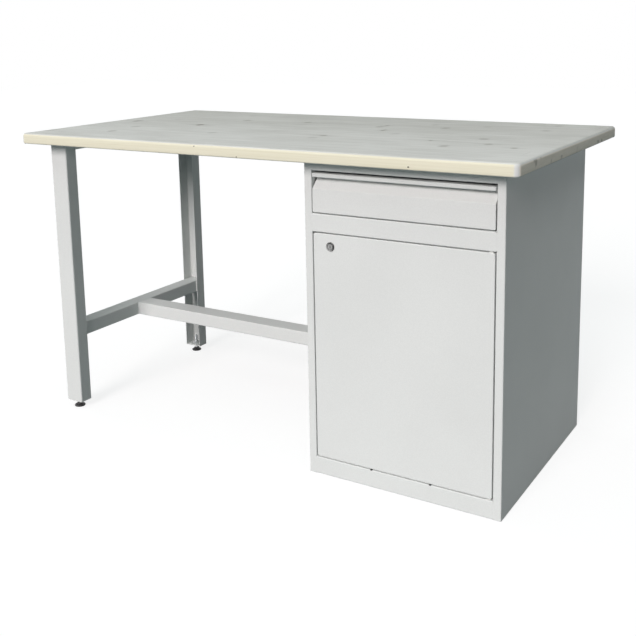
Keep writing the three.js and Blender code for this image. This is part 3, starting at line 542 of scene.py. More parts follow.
@dataclass(frozen=True)
class BoardWood:
    """Pale lacquered board of glued staves: fine grain and small knots on top, cream edges and end grain,
    with painted shade darkening the top towards the back, a painted highlight on the rounded corners and end
    colours painted lighter against the ends' shade.
    """

    top: Colour = (0.728, 0.729, 0.704)
    top_dark: Colour = (0.445, 0.441, 0.409)
    edge: Colour = (0.765, 0.737, 0.592)
    edge_dark: Colour = (0.645, 0.60, 0.434)
    # painted highlight on the rounded upright corners
    corner: Colour = (0.70, 0.71, 0.70)
    # painted light: both end colours are raised above the end grain's own tone against the shade on the end
    # faces
    end: Colour = (0.95, 0.89, 0.785)
    end_dark: Colour = (0.775, 0.72, 0.61)
    knot: Colour = (0.20, 0.185, 0.16)
    pin: Colour = (0.07, 0.06, 0.05)
    stave: float = 0.0533
    stave_length: float = 1.13
    stave_shift: float = 9.0
    stave_tone: float = 0.06
    seam: float = 0.8 * MM
    seam_core: float = 0.3
    seam_share: float = 0.4
    ply: float = 0.0043
    fibres: Pattern = Pattern((4.0, 170.0, 1.0), detail=4.0, rough=0.6, start=0.38, end=0.72, high=0.36)
    patches: Pattern = Pattern((4.0, 8.0, 8.0), detail=3.0, rough=0.6, start=0.35, end=0.68, high=0.20)
    wander: Pattern = Pattern((2.2, 9.0, 9.0), detail=1.0)
    wander_reach: float = 0.05
    # painted shade: the top darkens towards the back over this span, by up to this share
    back_shade_span: Span = (-0.44, 0.36)
    back_shade_share: float = 0.46
    knots: tuple[Knot, ...] = (
        Knot(-0.395, -0.015, 0.030, 0.045, 0.95),
        Knot(0.195, 0.060, 0.016, 0.050, 0.62),
        Knot(0.575, -0.120, 0.030, 0.035, 0.42),
        Knot(0.655, -0.165, 0.022, 0.032, 0.45),
        Knot(0.415, -0.105, 0.012, 0.032, 0.45),
        Knot(-0.120, 0.165, 0.022, 0.050, 0.50),
        Knot(0.150, 0.170, 0.016, 0.040, 0.60),
        Knot(-0.670, 0.010, 0.033, 0.060, 0.60),
        Knot(0.105, -0.115, 0.030, 0.035, 0.55),
        Knot(0.525, -0.025, 0.037, 0.043, 0.40),
    )
    knot_core: float = 0.35
    knot_warp: float = 0.012
    knot_warp_per_metre: float = 70.0
    heart_share: float = 0.9
    halo_share: float = 0.2
    halo_spread: float = 4.0
    halo_bend: float = 0.009
    fleck_cells: Point = (6.0, 4.5, 0.0)
    fleck_reach: float = 0.11
    fleck_core: float = 0.3
    fleck_dark: float = 0.45
    fleck_pick: Span = (0.4, 0.8)
    pin_knots: tuple[Knot, ...] = (
        Knot(-0.110, 0.8440, 0.005, 0.004, 1.0),
        Knot(0.023, 0.8237, 0.005, 0.004, 1.0),
        Knot(0.495, 0.8275, 0.007, 0.005, 1.0),
    )
    edge_streaks: Pattern = Pattern((3.0, 40.0, 330.0), detail=3.0, rough=0.6, start=0.38, end=0.75, high=0.4)
    edge_specks: Pattern = Pattern((22.0, 60.0, 120.0), start=0.72, end=0.84, high=0.35)
    end_pores: Pattern = Pattern((40.0, 420.0, 420.0), rough=0.6, start=0.45, end=0.8, high=0.4)
    end_bands: Pattern = Pattern((4.0, 14.0, 1.0 / ply), start=0.4, end=0.75, high=0.4)
    end_spots: Pattern = Pattern(even(34.0), detail=1.0, start=0.66, end=0.78, high=0.5)
    grain: Pattern = Pattern((9.0, 380.0, 380.0), detail=3.0, rough=0.6)
    grain_depth: float = 0.15 * MM
    grain_strength: float = 0.3
    rough: Span = (0.62, 0.76)
    shine: float = 0.10
    end_facing: Span = (0.8, 0.97)
    corner_highlight_facing: Span = (0.05, 0.45)
    top_facing: Span = (0.5, 0.85)

    def _knot_share(
        self,
        tree: ShaderTree,
        place: Socket,
        knots: Sequence[Knot],
        spread: float = 1.0,
        upright: bool = False,
    ) -> Socket:
        """Marks knots.

        Args:
            tree: The material's tree.
            place: Where the surface is.
            knots: The knots.
            spread: How much longer than the knots the marks are.
            upright: Whether they lie on an upright edge, with y read as height.

        Returns:
            The knot's darkness at its heart, falling to 0 at its rim.
        """
        total: Any = 0.0
        for knot in knots:
            scale_x, scale_y = 2 / (knot.length * spread), 2 / knot.width
            shift_x, shift_y = -knot.x * scale_x, -knot.y * scale_y
            inputs = {
                "Vector": place,
                "Location": (shift_x, 0.0, shift_y) if upright else (shift_x, shift_y, 0.0),
                "Scale": (scale_x, 0.0, scale_y) if upright else (scale_x, scale_y, 0.0),
            }
            near = tree.out("ShaderNodeMapping", inputs)
            away = tree.add("ShaderNodeVectorMath", {0: near}, operation="LENGTH").outputs["Value"]
            total = tree.math("MAXIMUM", total, tree.ramp(away, 1.0, self.knot_core, 0.0, knot.dark))
        return total

    def _fleck_share(self, tree: ShaderTree, place: Socket) -> Socket:
        """Scatters faint flecks, one in about half the cells of a random pattern.

        Args:
            tree: The material's tree.
            place: Where the surface is.

        Returns:
            The fleck's darkness at its heart, falling to 0 at its rim.
        """
        inputs = {"Vector": tree.scaled(place, self.fleck_cells), "Scale": 1.0}
        cells = tree.add("ShaderNodeTexVoronoi", inputs, voronoi_dimensions="2D").outputs
        core = self.fleck_core * self.fleck_reach
        near = tree.ramp(cells["Distance"], self.fleck_reach, core, 0.0, self.fleck_dark)
        return tree.math("MULTIPLY", near, tree.ramp(tree.split(cells["Color"])[0], *self.fleck_pick))

    def _top(self, tree: ShaderTree, place: Socket) -> Socket:
        """Colours the upper and lower faces.

        Args:
            tree: The material's tree.
            place: Where the surface is.

        Returns:
            The colour.
        """
        along, across, _ = tree.split(place)
        uneven = tree.warped(place, self.knot_warp_per_metre, self.knot_warp)
        hearts = self._knot_share(tree, uneven, self.knots)
        heart = tree.math("MAXIMUM", hearts, self._fleck_share(tree, uneven))
        halo = self._knot_share(tree, place, self.knots, self.halo_spread)
        number = tree.math("FLOOR", tree.math("DIVIDE", across, self.stave))
        tone = tree.out("ShaderNodeTexWhiteNoise", {"W": number}, noise_dimensions="1D")
        own = tree.math("ADD", along, tree.math("MULTIPLY", tone, self.stave_shift))
        bend = tree.math("MULTIPLY", tree.noise(place, self.wander), self.wander_reach)
        bend = tree.math("ADD", bend, tree.math("MULTIPLY", halo, self.halo_bend))
        fibre = tree.out("ShaderNodeCombineXYZ", {0: own, 1: tree.math("ADD", across, bend), 2: number})
        streak = tree.math("ADD", tree.mottle(fibre, self.fibres), tree.mottle(place, self.patches))
        streak = tree.math("ADD", streak, tree.math("MULTIPLY", tone, self.stave_tone))
        # painted shade darkening the top towards the back
        streak = tree.math("ADD", streak, tree.ramp(across, *self.back_shade_span, 0.0, self.back_shade_share))
        colour = tree.blend(streak, self.top, self.top_dark)
        side = tree.math("PINGPONG", across, self.stave / 2)
        butt = tree.math("PINGPONG", own, self.stave_length / 2)
        gap = tree.math("MINIMUM", side, butt)
        seam = tree.ramp(gap, self.seam, self.seam_core * self.seam, 0.0, self.seam_share)
        colour = tree.blend(seam, colour, self.knot)
        heart = tree.math("MULTIPLY", heart, self.heart_share)
        share = tree.math("ADD", heart, tree.math("MULTIPLY", halo, self.halo_share))
        return tree.blend(share, colour, self.knot)

    def _long_edge(self, tree: ShaderTree, place: Socket) -> Socket:
        """Colours the front and rear edges.

        Args:
            tree: The material's tree.
            place: Where the surface is.

        Returns:
            The colour.
        """
        colour = tree.blend(tree.mottle(place, self.edge_streaks), self.edge, self.edge_dark)
        colour = tree.blend(tree.mottle(place, self.edge_specks), colour, self.edge_dark)
        return tree.blend(self._knot_share(tree, place, self.pin_knots, upright=True), colour, self.pin)

    def _end(self, tree: ShaderTree, place: Socket) -> Socket:
        """Colours the two ends.

        Args:
            tree: The material's tree.
            place: Where the surface is.

        Returns:
            The colour.
        """
        share = tree.math("ADD", tree.mottle(place, self.end_pores), tree.mottle(place, self.end_bands))
        colour = tree.blend(share, self.end, self.end_dark)
        return tree.blend(tree.mottle(place, self.end_spots), colour, self.knot)

    def material(self) -> bpy.types.Material:
        """Makes the finish.

        Returns:
            The material.
        """
        tree = ShaderTree("pale_board")
        place = tree.place()
        facing = tree.add("ShaderNodeNewGeometry").outputs["Normal"]
        sideways, _, upwards = (tree.math("ABSOLUTE", part) for part in tree.split(facing))
        # the corner colour is a painted highlight on the rounded upright corners, between the long edges and
        # the ends
        end = tree.blend(tree.ramp(sideways, *self.end_facing), self.corner, self._end(tree, place))
        colour = tree.blend(tree.ramp(sideways, *self.corner_highlight_facing), self._long_edge(tree, place), end)
        colour = tree.blend(tree.ramp(upwards, *self.top_facing), colour, self._top(tree, place))
        grain = tree.noise(place, self.grain)
        normal = tree.bump(grain, self.grain_depth, self.grain_strength)
        return tree.finish(colour, tree.spread(grain, self.rough), normal, shine=self.shine)


@dataclass(frozen=True)
class PlatedMetal:
    """Plated metal with a faint spangle and brush marks."""

    name: str
    colour: Colour
    dull: Colour
    rough: Span
    brush: Pattern = Pattern((1040.0, 1040.0, 160.0), detail=3.0, rough=0.6, start=0.35, high=0.5)
    brush_depth: float = 0.03 * MM
    brush_strength: float = 0.25
    spangle_per_metre: float = 130.0
    spangle_share: float = 0.35
    edge_radius: float = 0.3 * MM
    metal: float = 1.0

    def material(self) -> bpy.types.Material:
        """Makes the finish.

        Returns:
            The material.
        """
        tree = ShaderTree(self.name)
        place = tree.place()
        inputs = {"Vector": place, "Scale": self.spangle_per_metre}
        patch = tree.split(tree.add("ShaderNodeTexVoronoi", inputs).outputs["Color"])[0]
        brush = tree.noise(place, self.brush)
        share = tree.math("MULTIPLY", patch, self.spangle_share)
        share = tree.math("ADD", share, tree.mapped(brush, self.brush))
        colour = tree.blend(share, self.colour, self.dull)
        normal = tree.bump(brush, self.brush_depth, self.brush_strength, tree.soft_normal(self.edge_radius))
        return tree.finish(colour, tree.spread(brush, self.rough), normal, metal=self.metal)


@dataclass(frozen=True)
class LockMetal:
    """Dulled lock metal: a grey flange with a painted shade crescent on one side, and painted shade in its
    groove and key slot.
    """

    x: float
    z: float
    plug_radius: float
    face: Colour = (0.42, 0.425, 0.42)
    dull: Colour = (0.27, 0.272, 0.27)
    # painted shade: the near-black laid into the groove, the key slot and the crescent
    painted_shade: Colour = (0.012, 0.012, 0.012)
    painted_shade_share: float = 0.9
    groove: float = 1.2 * MM
    groove_core: float = 0.3
    groove_gap: float = 0.4 * MM
    groove_shade: float = 0.6
    # painted shade crescent: how far its centre leans, its reach, and how the scuffs break it up
    crescent_lean: float = 1.7 * MM
    crescent_reach: Span = (8.6 * MM, 10.2 * MM)
    crescent_scuff: Span = (0.3, 0.6)
    crescent_share: Span = (0.75, 1.0)
    key_half_width: float = 0.95 * MM
    key_half_height: float = 4.0 * MM
    scuffs: Pattern = Pattern((500.0, 60.0, 500.0), detail=3.0, rough=0.6, start=0.35, end=0.65)
    scuff_depth: float = 0.04 * MM
    scuff_strength: float = 0.3
    edge_radius: float = 0.3 * MM
    rough: Span = (0.30, 0.44)
    metal: float = 0.9

    def material(self) -> bpy.types.Material:
        """Makes the finish.

        Returns:
            The material.
        """
        tree = ShaderTree("lock_nickel")
        place = tree.place()
        x, _, z = tree.split(place)
        across = tree.math("SUBTRACT", x, self.x)
        up = tree.math("SUBTRACT", z, self.z)
        ring = tree.math("SUBTRACT", tree.distance(across, up), self.plug_radius + self.groove_gap)
        ring = tree.math("ABSOLUTE", ring)
        # painted shade in the groove round the plug
        shaded = tree.ramp(ring, self.groove, self.groove_core * self.groove, 0.0, self.groove_shade)
        # painted shade filling the key slot
        in_width = tree.math("LESS_THAN", tree.math("ABSOLUTE", across), self.key_half_width)
        in_height = tree.math("LESS_THAN", tree.math("ABSOLUTE", up), self.key_half_height)
        shaded = tree.math("MAXIMUM", shaded, tree.math("MULTIPLY", in_width, in_height))
        scuff = tree.noise(place, self.scuffs)
        # painted shade: a dark crescent on the flange's upper right
        leaning = [tree.math("ADD", part, self.crescent_lean) for part in (across, up)]
        crescent = tree.ramp(tree.distance(*leaning), *self.crescent_reach)
        patchy = tree.ramp(scuff, *self.crescent_scuff, *self.crescent_share)
        shaded = tree.math("MAXIMUM", shaded, tree.math("MULTIPLY", crescent, patchy))
        metal = tree.blend(tree.mapped(scuff, self.scuffs), self.face, self.dull)
        colour = tree.blend(tree.math("MULTIPLY", shaded, self.painted_shade_share), metal, self.painted_shade)
        normal = tree.bump(scuff, self.scuff_depth, self.scuff_strength, tree.soft_normal(self.edge_radius))
        return tree.finish(colour, tree.spread(scuff, self.rough), normal, metal=self.metal)


@dataclass(frozen=True)
class Moulding:
    """Moulded plastic or rubber with a spark-eroded grain and a dusting in the hollows."""

    name: str
    colour: Colour
    dusty: Colour
    rough: Span
    shine: float
    clouds: Pattern = Pattern(even(70.0), detail=3.0, start=0.42, end=0.72)
    grain: Pattern = Pattern(even(1400.0), rough=0.6, start=0.4, high=0.25)
    grain_depth: float = 0.06 * MM
    grain_strength: float = 0.4

    def material(self) -> bpy.types.Material:
        """Makes the finish.

        Returns:
            The material.
        """
        tree = ShaderTree(self.name)
        place = tree.place()
        grain = tree.noise(place, self.grain)
        colour = tree.blend(tree.mottle(place, self.clouds), self.colour, self.dusty)
        colour = tree.blend(tree.mapped(grain, self.grain), colour, self.dusty)
        normal = tree.bump(grain, self.grain_depth, self.grain_strength)
        return tree.finish(colour, tree.spread(grain, self.rough), normal, shine=self.shine)


def make_palette() -> Palette:
    """Makes every finish.

    Returns:
        The materials by slot.
    """
    plug = middle_of("lock_plug")
    zinc, zinc_dull = (0.66, 0.67, 0.68), (0.52, 0.53, 0.54)
    black, black_dust = (0.034, 0.034, 0.035), (0.065, 0.065, 0.066)
    rubber, rubber_dust = (0.020, 0.020, 0.020), (0.036, 0.035, 0.034)
    nylon, nylon_dust = (0.76, 0.76, 0.73), (0.66, 0.66, 0.63)
    finishes = {
        Slot.BOARD: BoardWood(),
        Slot.PAINT: PowderCoat(),
        Slot.ZINC: PlatedMetal("bright_zinc", zinc, zinc_dull, rough=(0.26, 0.40)),
        Slot.PLASTIC: Moulding("black_moulding", black, black_dust, rough=(0.45, 0.62), shine=0.35),
        Slot.RUBBER: Moulding("dull_rubber", rubber, rubber_dust, rough=(0.70, 0.85), shine=0.2),
        Slot.NYLON: Moulding("white_nylon", nylon, nylon_dust, rough=(0.35, 0.48), shine=0.4),
        Slot.LOCK: LockMetal(plug.x, plug.z, radius_of("lock_plug")),
    }
    return {slot: finish.material() for slot, finish in finishes.items()}


# Mesh forms


def round_rule(radius: float) -> RadiusRule:
    """Returns the rule of a circle."""
    return lambda angle: radius


def hexagon_rule(across_flats: float) -> RadiusRule:
    """Returns the rule of a hexagon."""
    sixth = math.pi / 3
    return lambda angle: across_flats / 2 / math.cos((angle % sixth) - sixth / 2)


def lobe_rule(radius: float, wave: float) -> RadiusRule:
    """Returns the rule of a six-lobed recess."""
    return lambda angle: radius + wave * math.cos(6 * angle)


def slot_rule(width: float, height: float) -> RadiusRule:
    """Makes the rule of a narrow upright rectangle.

    Args:
        width: Its width.
        height: Its height.

    Returns:
        The rule.
    """
    tiny = 1e-9

    def radius(angle: float) -> float:
        """Returns the distance to the nearer side."""
        across, along = max(abs(math.cos(angle)), tiny), max(abs(math.sin(angle)), tiny)
        return min(width / 2 / across, height / 2 / along)

    return radius


def skin(name: str, loops: Sequence[Sequence[Vector]], ring: bool = False) -> bpy.types.Mesh:
    """Stretches a closed skin over loops of points.

    Args:
        name: The mesh's name.
        loops: Closed loops with equal numbers of points.
        ring: Whether the last loop joins the first, in place of two caps.

    Returns:
        A mesh whose faces point outwards.
    """
    shape = bmesh.new()
    rows = [[shape.verts.new(point) for point in loop] for loop in loops]
    pairs = list(zip(rows, rows[1:]))
    if ring:
        pairs.append((rows[-1], rows[0]))
    for lower, upper in pairs:
        for i, corner in enumerate(lower):
            j = (i + 1) % len(lower)
            shape.faces.new((corner, lower[j], upper[j], upper[i]))
    if not ring:
        shape.faces.new(list(reversed(rows[0])))
        shape.faces.new(rows[-1])
    bmesh.ops.recalc_face_normals(shape, faces=shape.faces)
    return kept(name, shape)


def kept(name: str, shape: bmesh.types.BMesh) -> bpy.types.Mesh:
    """Turns an edited shape into a mesh and frees it.

    Args:
        name: The mesh's name.
        shape: The shape.

    Returns:
        The mesh.
    """
    mesh = bpy.data.meshes.new(name)
    shape.to_mesh(mesh)
    shape.free()
    return mesh


def joined(name: str, meshes: Sequence[bpy.types.Mesh]) -> bpy.types.Mesh:
    """Puts several meshes into one.

    Args:
        name: The new mesh's name.
        meshes: The meshes.

    Returns:
        The new mesh.
    """
    shape = bmesh.new()
    for mesh in meshes:
        shape.from_mesh(mesh)
    return kept(name, shape)


def turned(name: str, rings: Sequence[Ring], segments: int = 36, ring: bool = False) -> bpy.types.Mesh:
    """Makes a form round the Z axis.

    Args:
        name: The mesh's name.
        rings: Height and radius, or radius rule, of each ring in order.
        segments: Points in a ring.
        ring: Whether the form has a bore.

    Returns:
        The mesh.
    """
    angles = [FULL_TURN * i / segments for i in range(segments)]
    loops = []
    for height, radius in rings:
        rule = radius if callable(radius) else round_rule(radius)
        loops.append([Vector((rule(a) * math.cos(a), rule(a) * math.sin(a), height)) for a in angles])
    return skin(name, loops, ring)


def rounded_loop(half: Vector, radius: float, height: float, steps: int) -> list[Vector]:
    """Draws a rectangle with rounded corners.

    Args:
        half: Half its length and width.
        radius: Radius of its corners.
        height: Its height above the floor.
        steps: Pieces in each corner's arc.

    Returns:
        Its points, anticlockwise.
    """
    points = []
    for quarter, (sx, sy) in enumerate(((1, 1), (-1, 1), (-1, -1), (1, -1))):
        for step in range(steps + 1):
            angle = (quarter + step / steps) * QUARTER_TURN
            x = sx * (half.x - radius) + radius * math.cos(angle)
            y = sy * (half.y - radius) + radius * math.sin(angle)
            points.append(Vector((x, y, height)))
    return points


def wire_mesh(name: str, points: Sequence[Point], edges: Sequence[tuple[int, int]] = ()) -> bpy.types.Mesh:
    """Makes a mesh without faces.

    Args:
        name: The mesh's name.
        points: Its points.
        edges: Numbers of the points that each edge joins.

    Returns:
        The mesh.
    """
    mesh = bpy.data.meshes.new(name)
    mesh.from_pydata([Vector(point) for point in points], edges, [])
    return mesh


# Fasteners


class Fastener(Protocol):
    """Small form that is set on many points, its seat at height 0 and its head upwards."""

    def mesh(self) -> bpy.types.Mesh:
        """Returns the mesh."""


@dataclass(frozen=True)
class HexHead:
    """Hexagon on a round washer, which bolts and nuts share."""

    across_flats: float = 13 * MM
    height: float = 5.3 * MM
    washer_radius: float = 8 * MM
    washer: float = 1.6 * MM
    washer_edge: float = 0.3 * MM
    chamfer: float = 0.7 * MM
    crown: float = 0.46

    def top(self) -> float:
        """Returns the hexagon's height above the seat."""
        return self.washer + self.height

    def rings(self) -> list[Ring]:
        """Draws the washer and the hexagon.

        Returns:
            The rings from the seat to the hexagon's top.
        """
        edge, rim, top = self.washer_edge, self.washer_radius, self.top()
        flats = hexagon_rule(self.across_flats)
        return [
            (0.0, rim - edge), (edge, rim), (self.washer - edge, rim), (self.washer, rim - edge),
            (self.washer, flats), (top - self.chamfer, flats), (top, self.across_flats * self.crown),
        ]


@dataclass(frozen=True)
class HexBolt(HexHead):
    """Hexagon bolt head with the start of its shank."""

    shank: float = 2 * MM
    shank_share: float = 0.47

    def mesh(self) -> bpy.types.Mesh:
        """Returns the mesh."""
        radius = self.across_flats * self.shank_share
        return turned("hex_bolt", [(-self.shank, radius), (0.0, radius), *self.rings()])


@dataclass(frozen=True)
class HexNut(HexHead):
    """Hexagon nut with the bolt's end standing out of it."""

    height: float = 6.5 * MM
    end_radius: float = 3.9 * MM
    end: float = 3.2 * MM
    end_chamfer: float = 0.5 * MM

    def mesh(self) -> bpy.types.Mesh:
        """Makes the nut.

        Returns:
            The mesh.
        """
        r, c = self.end_radius, self.end_chamfer
        top, tip = self.top(), self.top() + self.end
        return turned("hex_nut", [*self.rings(), (top, r + c), (top - c, r), (tip - c, r), (tip, r - c)])


@dataclass(frozen=True)
class PanScrew:
    """Domed screw head with a six-lobed recess, with a washer where it has one."""

    radius: float = 4.6 * MM
    height: float = 2.6 * MM
    recess: float = 1.7 * MM
    washer_radius: float = 0.0
    washer: float = 1.2 * MM
    shank: float = 1.0 * MM
    shank_share: float = 0.5
    flat_share: float = 0.46
    dome_arc: float = math.radians(62)
    dome_steps: int = 4
    lobe_share: float = 0.36
    lobe_wave: float = 0.07

    def mesh(self) -> bpy.types.Mesh:
        """Makes the screw.

        Returns:
            The mesh.
        """
        seat = self.washer if self.washer_radius else 0.0
        stem = self.radius * self.shank_share
        rings: list[Ring] = [(-self.shank, stem), (0.0, stem)]
        if self.washer_radius:
            rings = [(0.0, self.washer_radius), (seat, self.washer_radius)]
        for step in range(self.dome_steps + 1):
            share = step / self.dome_steps
            rise = math.sin(share * self.dome_arc) / math.sin(self.dome_arc)
            reach = self.flat_share + (1 - self.flat_share) * math.cos(share * QUARTER_TURN)
            rings.append((seat + self.height * rise, self.radius * reach))
        lobes = lobe_rule(self.radius * self.lobe_share, self.radius * self.lobe_wave)
        top = seat + self.height
        return turned("pan_screw", [*rings, (top, lobes), (top - self.recess, lobes)])


@dataclass(frozen=True)
class PressedHead:
    """Low turned head, sunk a little into its sheet.

    The profile gives each ring's height and radius as shares of the head's own, and sunk_share the lowest
    ring's radius.
    """

    name: str
    radius: float
    height: float
    sunk: float
    sunk_share: float
    profile: tuple[Span, ...]
    segments: int

    def mesh(self) -> bpy.types.Mesh:
        """Returns the mesh."""
        rings = [(self.height * height, self.radius * radius) for height, radius in self.profile]
        return turned(self.name, [(-self.sunk, self.radius * self.sunk_share), *rings], self.segments)


BLIND_RIVET = PressedHead(
    "blind_rivet", radius=4.0 * MM, height=1.3 * MM, sunk=0.6 * MM, sunk_share=0.6, segments=24,
    profile=(
        (0.0, 0.6), (0.0, 0.97), (0.35, 1.0), (0.75, 0.82), (1.0, 0.5), (1.0, 0.36), (0.3, 0.3), (0.45, 0.12),
    ),
)
SPOT_MARK = PressedHead(
    "spot_mark", radius=3.0 * MM, height=0.35 * MM, sunk=0.3 * MM, sunk_share=0.9, segments=20,
    profile=((0.0, 1.0), (1.0, 0.8), (1.0, 0.62), (0.3, 0.3)),
)


@dataclass(frozen=True)
class DomedBuffer:
    """Push-in rubber buffer with a domed face."""

    radius: float = 4.0 * MM
    height: float = 4.3 * MM
    foot_share: float = 0.94
    foot_edge: float = 0.3 * MM
    wall_share: float = 0.42
    dome_steps: int = 6
    tip_share: float = 0.08
    segments: int = 28

    def mesh(self) -> bpy.types.Mesh:
        """Makes the buffer.

        Returns:
            The mesh.
        """
        r, h, wall = self.radius, self.height, self.wall_share
        rings: list[Ring] = [(0.0, r * self.foot_share), (self.foot_edge, r), (h * wall, r)]
        for step in range(1, self.dome_steps):
            angle = step / self.dome_steps * QUARTER_TURN
            rings.append((h * (wall + (1 - wall) * math.sin(angle)), r * math.cos(angle)))
        return turned("domed_buffer", [*rings, (h, r * self.tip_share)], self.segments)


# Sub-assemblies


@dataclass(frozen=True)
class Workshop:
    """Finishes and node trees that the sub-assemblies share."""

    palette: Palette
    fasteners: FastenerTree
    welds: WeldTree
    threads: ThreadTree


@dataclass
class SubAssembly(ABC):
    """Group of the bench's pieces, made in one workshop."""

    shop: Workshop
    weld_step = 0.9 * MM
    weld_ripple = 0.22
    sharp_angle = math.radians(35.0)

    def dress(self, slot: Slot, *nodes: str) -> None:
        """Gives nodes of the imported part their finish.

        Args:
            slot: The finish.
            *nodes: The nodes' names.
        """
        for name in nodes:
            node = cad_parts[name]
            node.data.materials.clear()
            node.data.materials.append(self.shop.palette[slot])
            LOG.info("node %s in %s", name, slot.value)

    def keep(self, mesh: bpy.types.Mesh, name: str, body: Body, slot: Slot, *replaced: str) -> None:
        """Keeps a mesh as a finished piece, smooth but for its sharp edges.

        Args:
            mesh: The piece's mesh, in its place.
            name: The piece's name.
            body: The body that carries it.
            slot: Its finish.
            *replaced: Nodes that it stands for.
        """
        mesh.name = name
        mesh.materials.clear()
        mesh.materials.append(self.shop.palette[slot])
        mesh.shade_smooth()
        mesh.set_sharp_from_angle(angle=self.sharp_angle)
        piece = put(name, mesh)
        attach(piece, body.value)
        if replaced:
            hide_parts(*replaced)
        LOG.info("piece %s on %s, %d faces", name, body.value, len(mesh.polygons))

    def fasten(
        self, form: Fastener, points: Sequence[Point], facing: Facing, slot: Slot, seed: int
    ) -> bpy.types.Mesh:
        """Sets a fastener on each point.

        Args:
            form: The fastener.
            points: Where its seat lies.
            facing: Where its head points.
            slot: Its finish.
            seed: Seed of its random turn.

        Returns:
            One mesh of them all.
        """
        template = bpy.data.objects.new("fastener_template", form.mesh())
        values = {"Fastener": template, "Facing": facing.value, "Seed": seed}
        values["Material"] = self.shop.palette[slot]
        mesh = self.shop.fasteners.run(wire_mesh("fastener_points", points), values)
        bpy.data.objects.remove(template)
        return mesh

    def weld(self, lines: Sequence[Line], radius: float) -> bpy.types.Mesh:
        """Lays weld beads along lines.

        Args:
            lines: Both ends of each bead.
            radius: Radius of the beads.

        Returns:
            One mesh of them all.
        """
        ends = [point for line in lines for point in line]
        edges = [(2 * i, 2 * i + 1) for i in range(len(lines))]
        values = {"Radius": radius, "Step": self.weld_step, "Ripple": self.weld_ripple}
        values["Material"] = self.shop.palette[Slot.PAINT]
        return self.shop.welds.run(wire_mesh("weld_lines", ends, edges), values)

    @abstractmethod
    def build(self) -> None:
        """Builds and dresses the sub-assembly."""


@dataclass
class Worktop(SubAssembly):
    """Thick board with rounded corners and eased edges."""

    corner_radius: float = 15 * MM
    under_edge: float = 4 * MM
    top_edge: float = 8 * MM
    corner_steps: int = 12
    edge_steps: int = 8

    def build(self) -> None:
        """Builds the board in the place of its plain solid."""
        low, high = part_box("worktop")
        half = (high - low) / 2
        loops = []
        for side, base, radius in ((-1, low.z, self.under_edge), (1, high.z, self.top_edge)):
            for step in range(self.edge_steps + 1):
                turn = step / self.edge_steps * QUARTER_TURN
                angle = turn if side < 0 else QUARTER_TURN - turn
                inset = radius * (1 - math.sin(angle))
                height = base - side * radius * (1 - math.cos(angle))
                room = Vector((half.x - inset, half.y - inset))
                loops.append(rounded_loop(room, self.corner_radius - inset, height, self.corner_steps))
        self.keep(skin("board", loops), "worktop_board", Body.BENCH, Slot.BOARD, "worktop")


@dataclass
class LegFrame(SubAssembly):
    """Two channel legs joined by an upper and a lower rail, with foot plates and nuts."""

    weld_radius: float = 2.3 * MM
    weld_margin: float = 2 * MM
    screw: PanScrew = PanScrew(washer_radius=8 * MM)
    screw_rows: tuple[float, ...] = (0.25, 0.5, 0.75)
    screw_seed: int = 11
    slot_plate: float = 2 * MM

    def _rail_welds(self) -> list[Line]:
        """Draws the beads where both rails enter the legs.

        Returns:
            Both ends of each bead.
        """
        lines = []
        for rail in ("upper_rail", "lower_rail"):
            low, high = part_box(rail)
            start, end = low.z + self.weld_margin, high.z - 2 * self.weld_margin
            for leg, inwards in (("front_leg", 1), ("rear_leg", -1)):
                leg_low, leg_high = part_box(leg)
                y = leg_high.y if inwards > 0 else leg_low.y
                for rail_x, leg_x in ((low.x, leg_low.x), (high.x, leg_high.x)):
                    x = (rail_x + leg_x) / 2
                    lines.append(((x, y, start), (x, y, end)))
        return lines

    def _worktop_screws(self) -> bpy.types.Mesh:
        """Makes the screws that hold the worktop through the upper rail's slots.

        Returns:
            One mesh of them all.
        """
        _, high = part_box("upper_rail")
        leg_low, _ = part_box("front_leg")
        _, leg_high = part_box("rear_leg")
        x, seat = middle_of("upper_rail").x, high.z - self.slot_plate
        points = [(x, y, seat) for y in between(leg_low.y, leg_high.y, self.screw_rows)]
        return self.fasten(self.screw, points, Facing.DOWN, Slot.ZINC, self.screw_seed)

    def build(self) -> None:
        """Dresses the frame and adds its beads and screws."""
        self.dress(Slot.PAINT, "front_leg", "rear_leg", "upper_rail", "lower_rail")
        self.dress(Slot.PAINT, "front_foot_plate", "rear_foot_plate")
        self.dress(Slot.ZINC, "front_foot_nut", "rear_foot_nut")
        beads = self.weld(self._rail_welds(), self.weld_radius)
        self.keep(beads, "leg_frame_welds", Body.BENCH, Slot.PAINT)
        self.keep(self._worktop_screws(), "leg_frame_worktop_screws", Body.BENCH, Slot.ZINC)


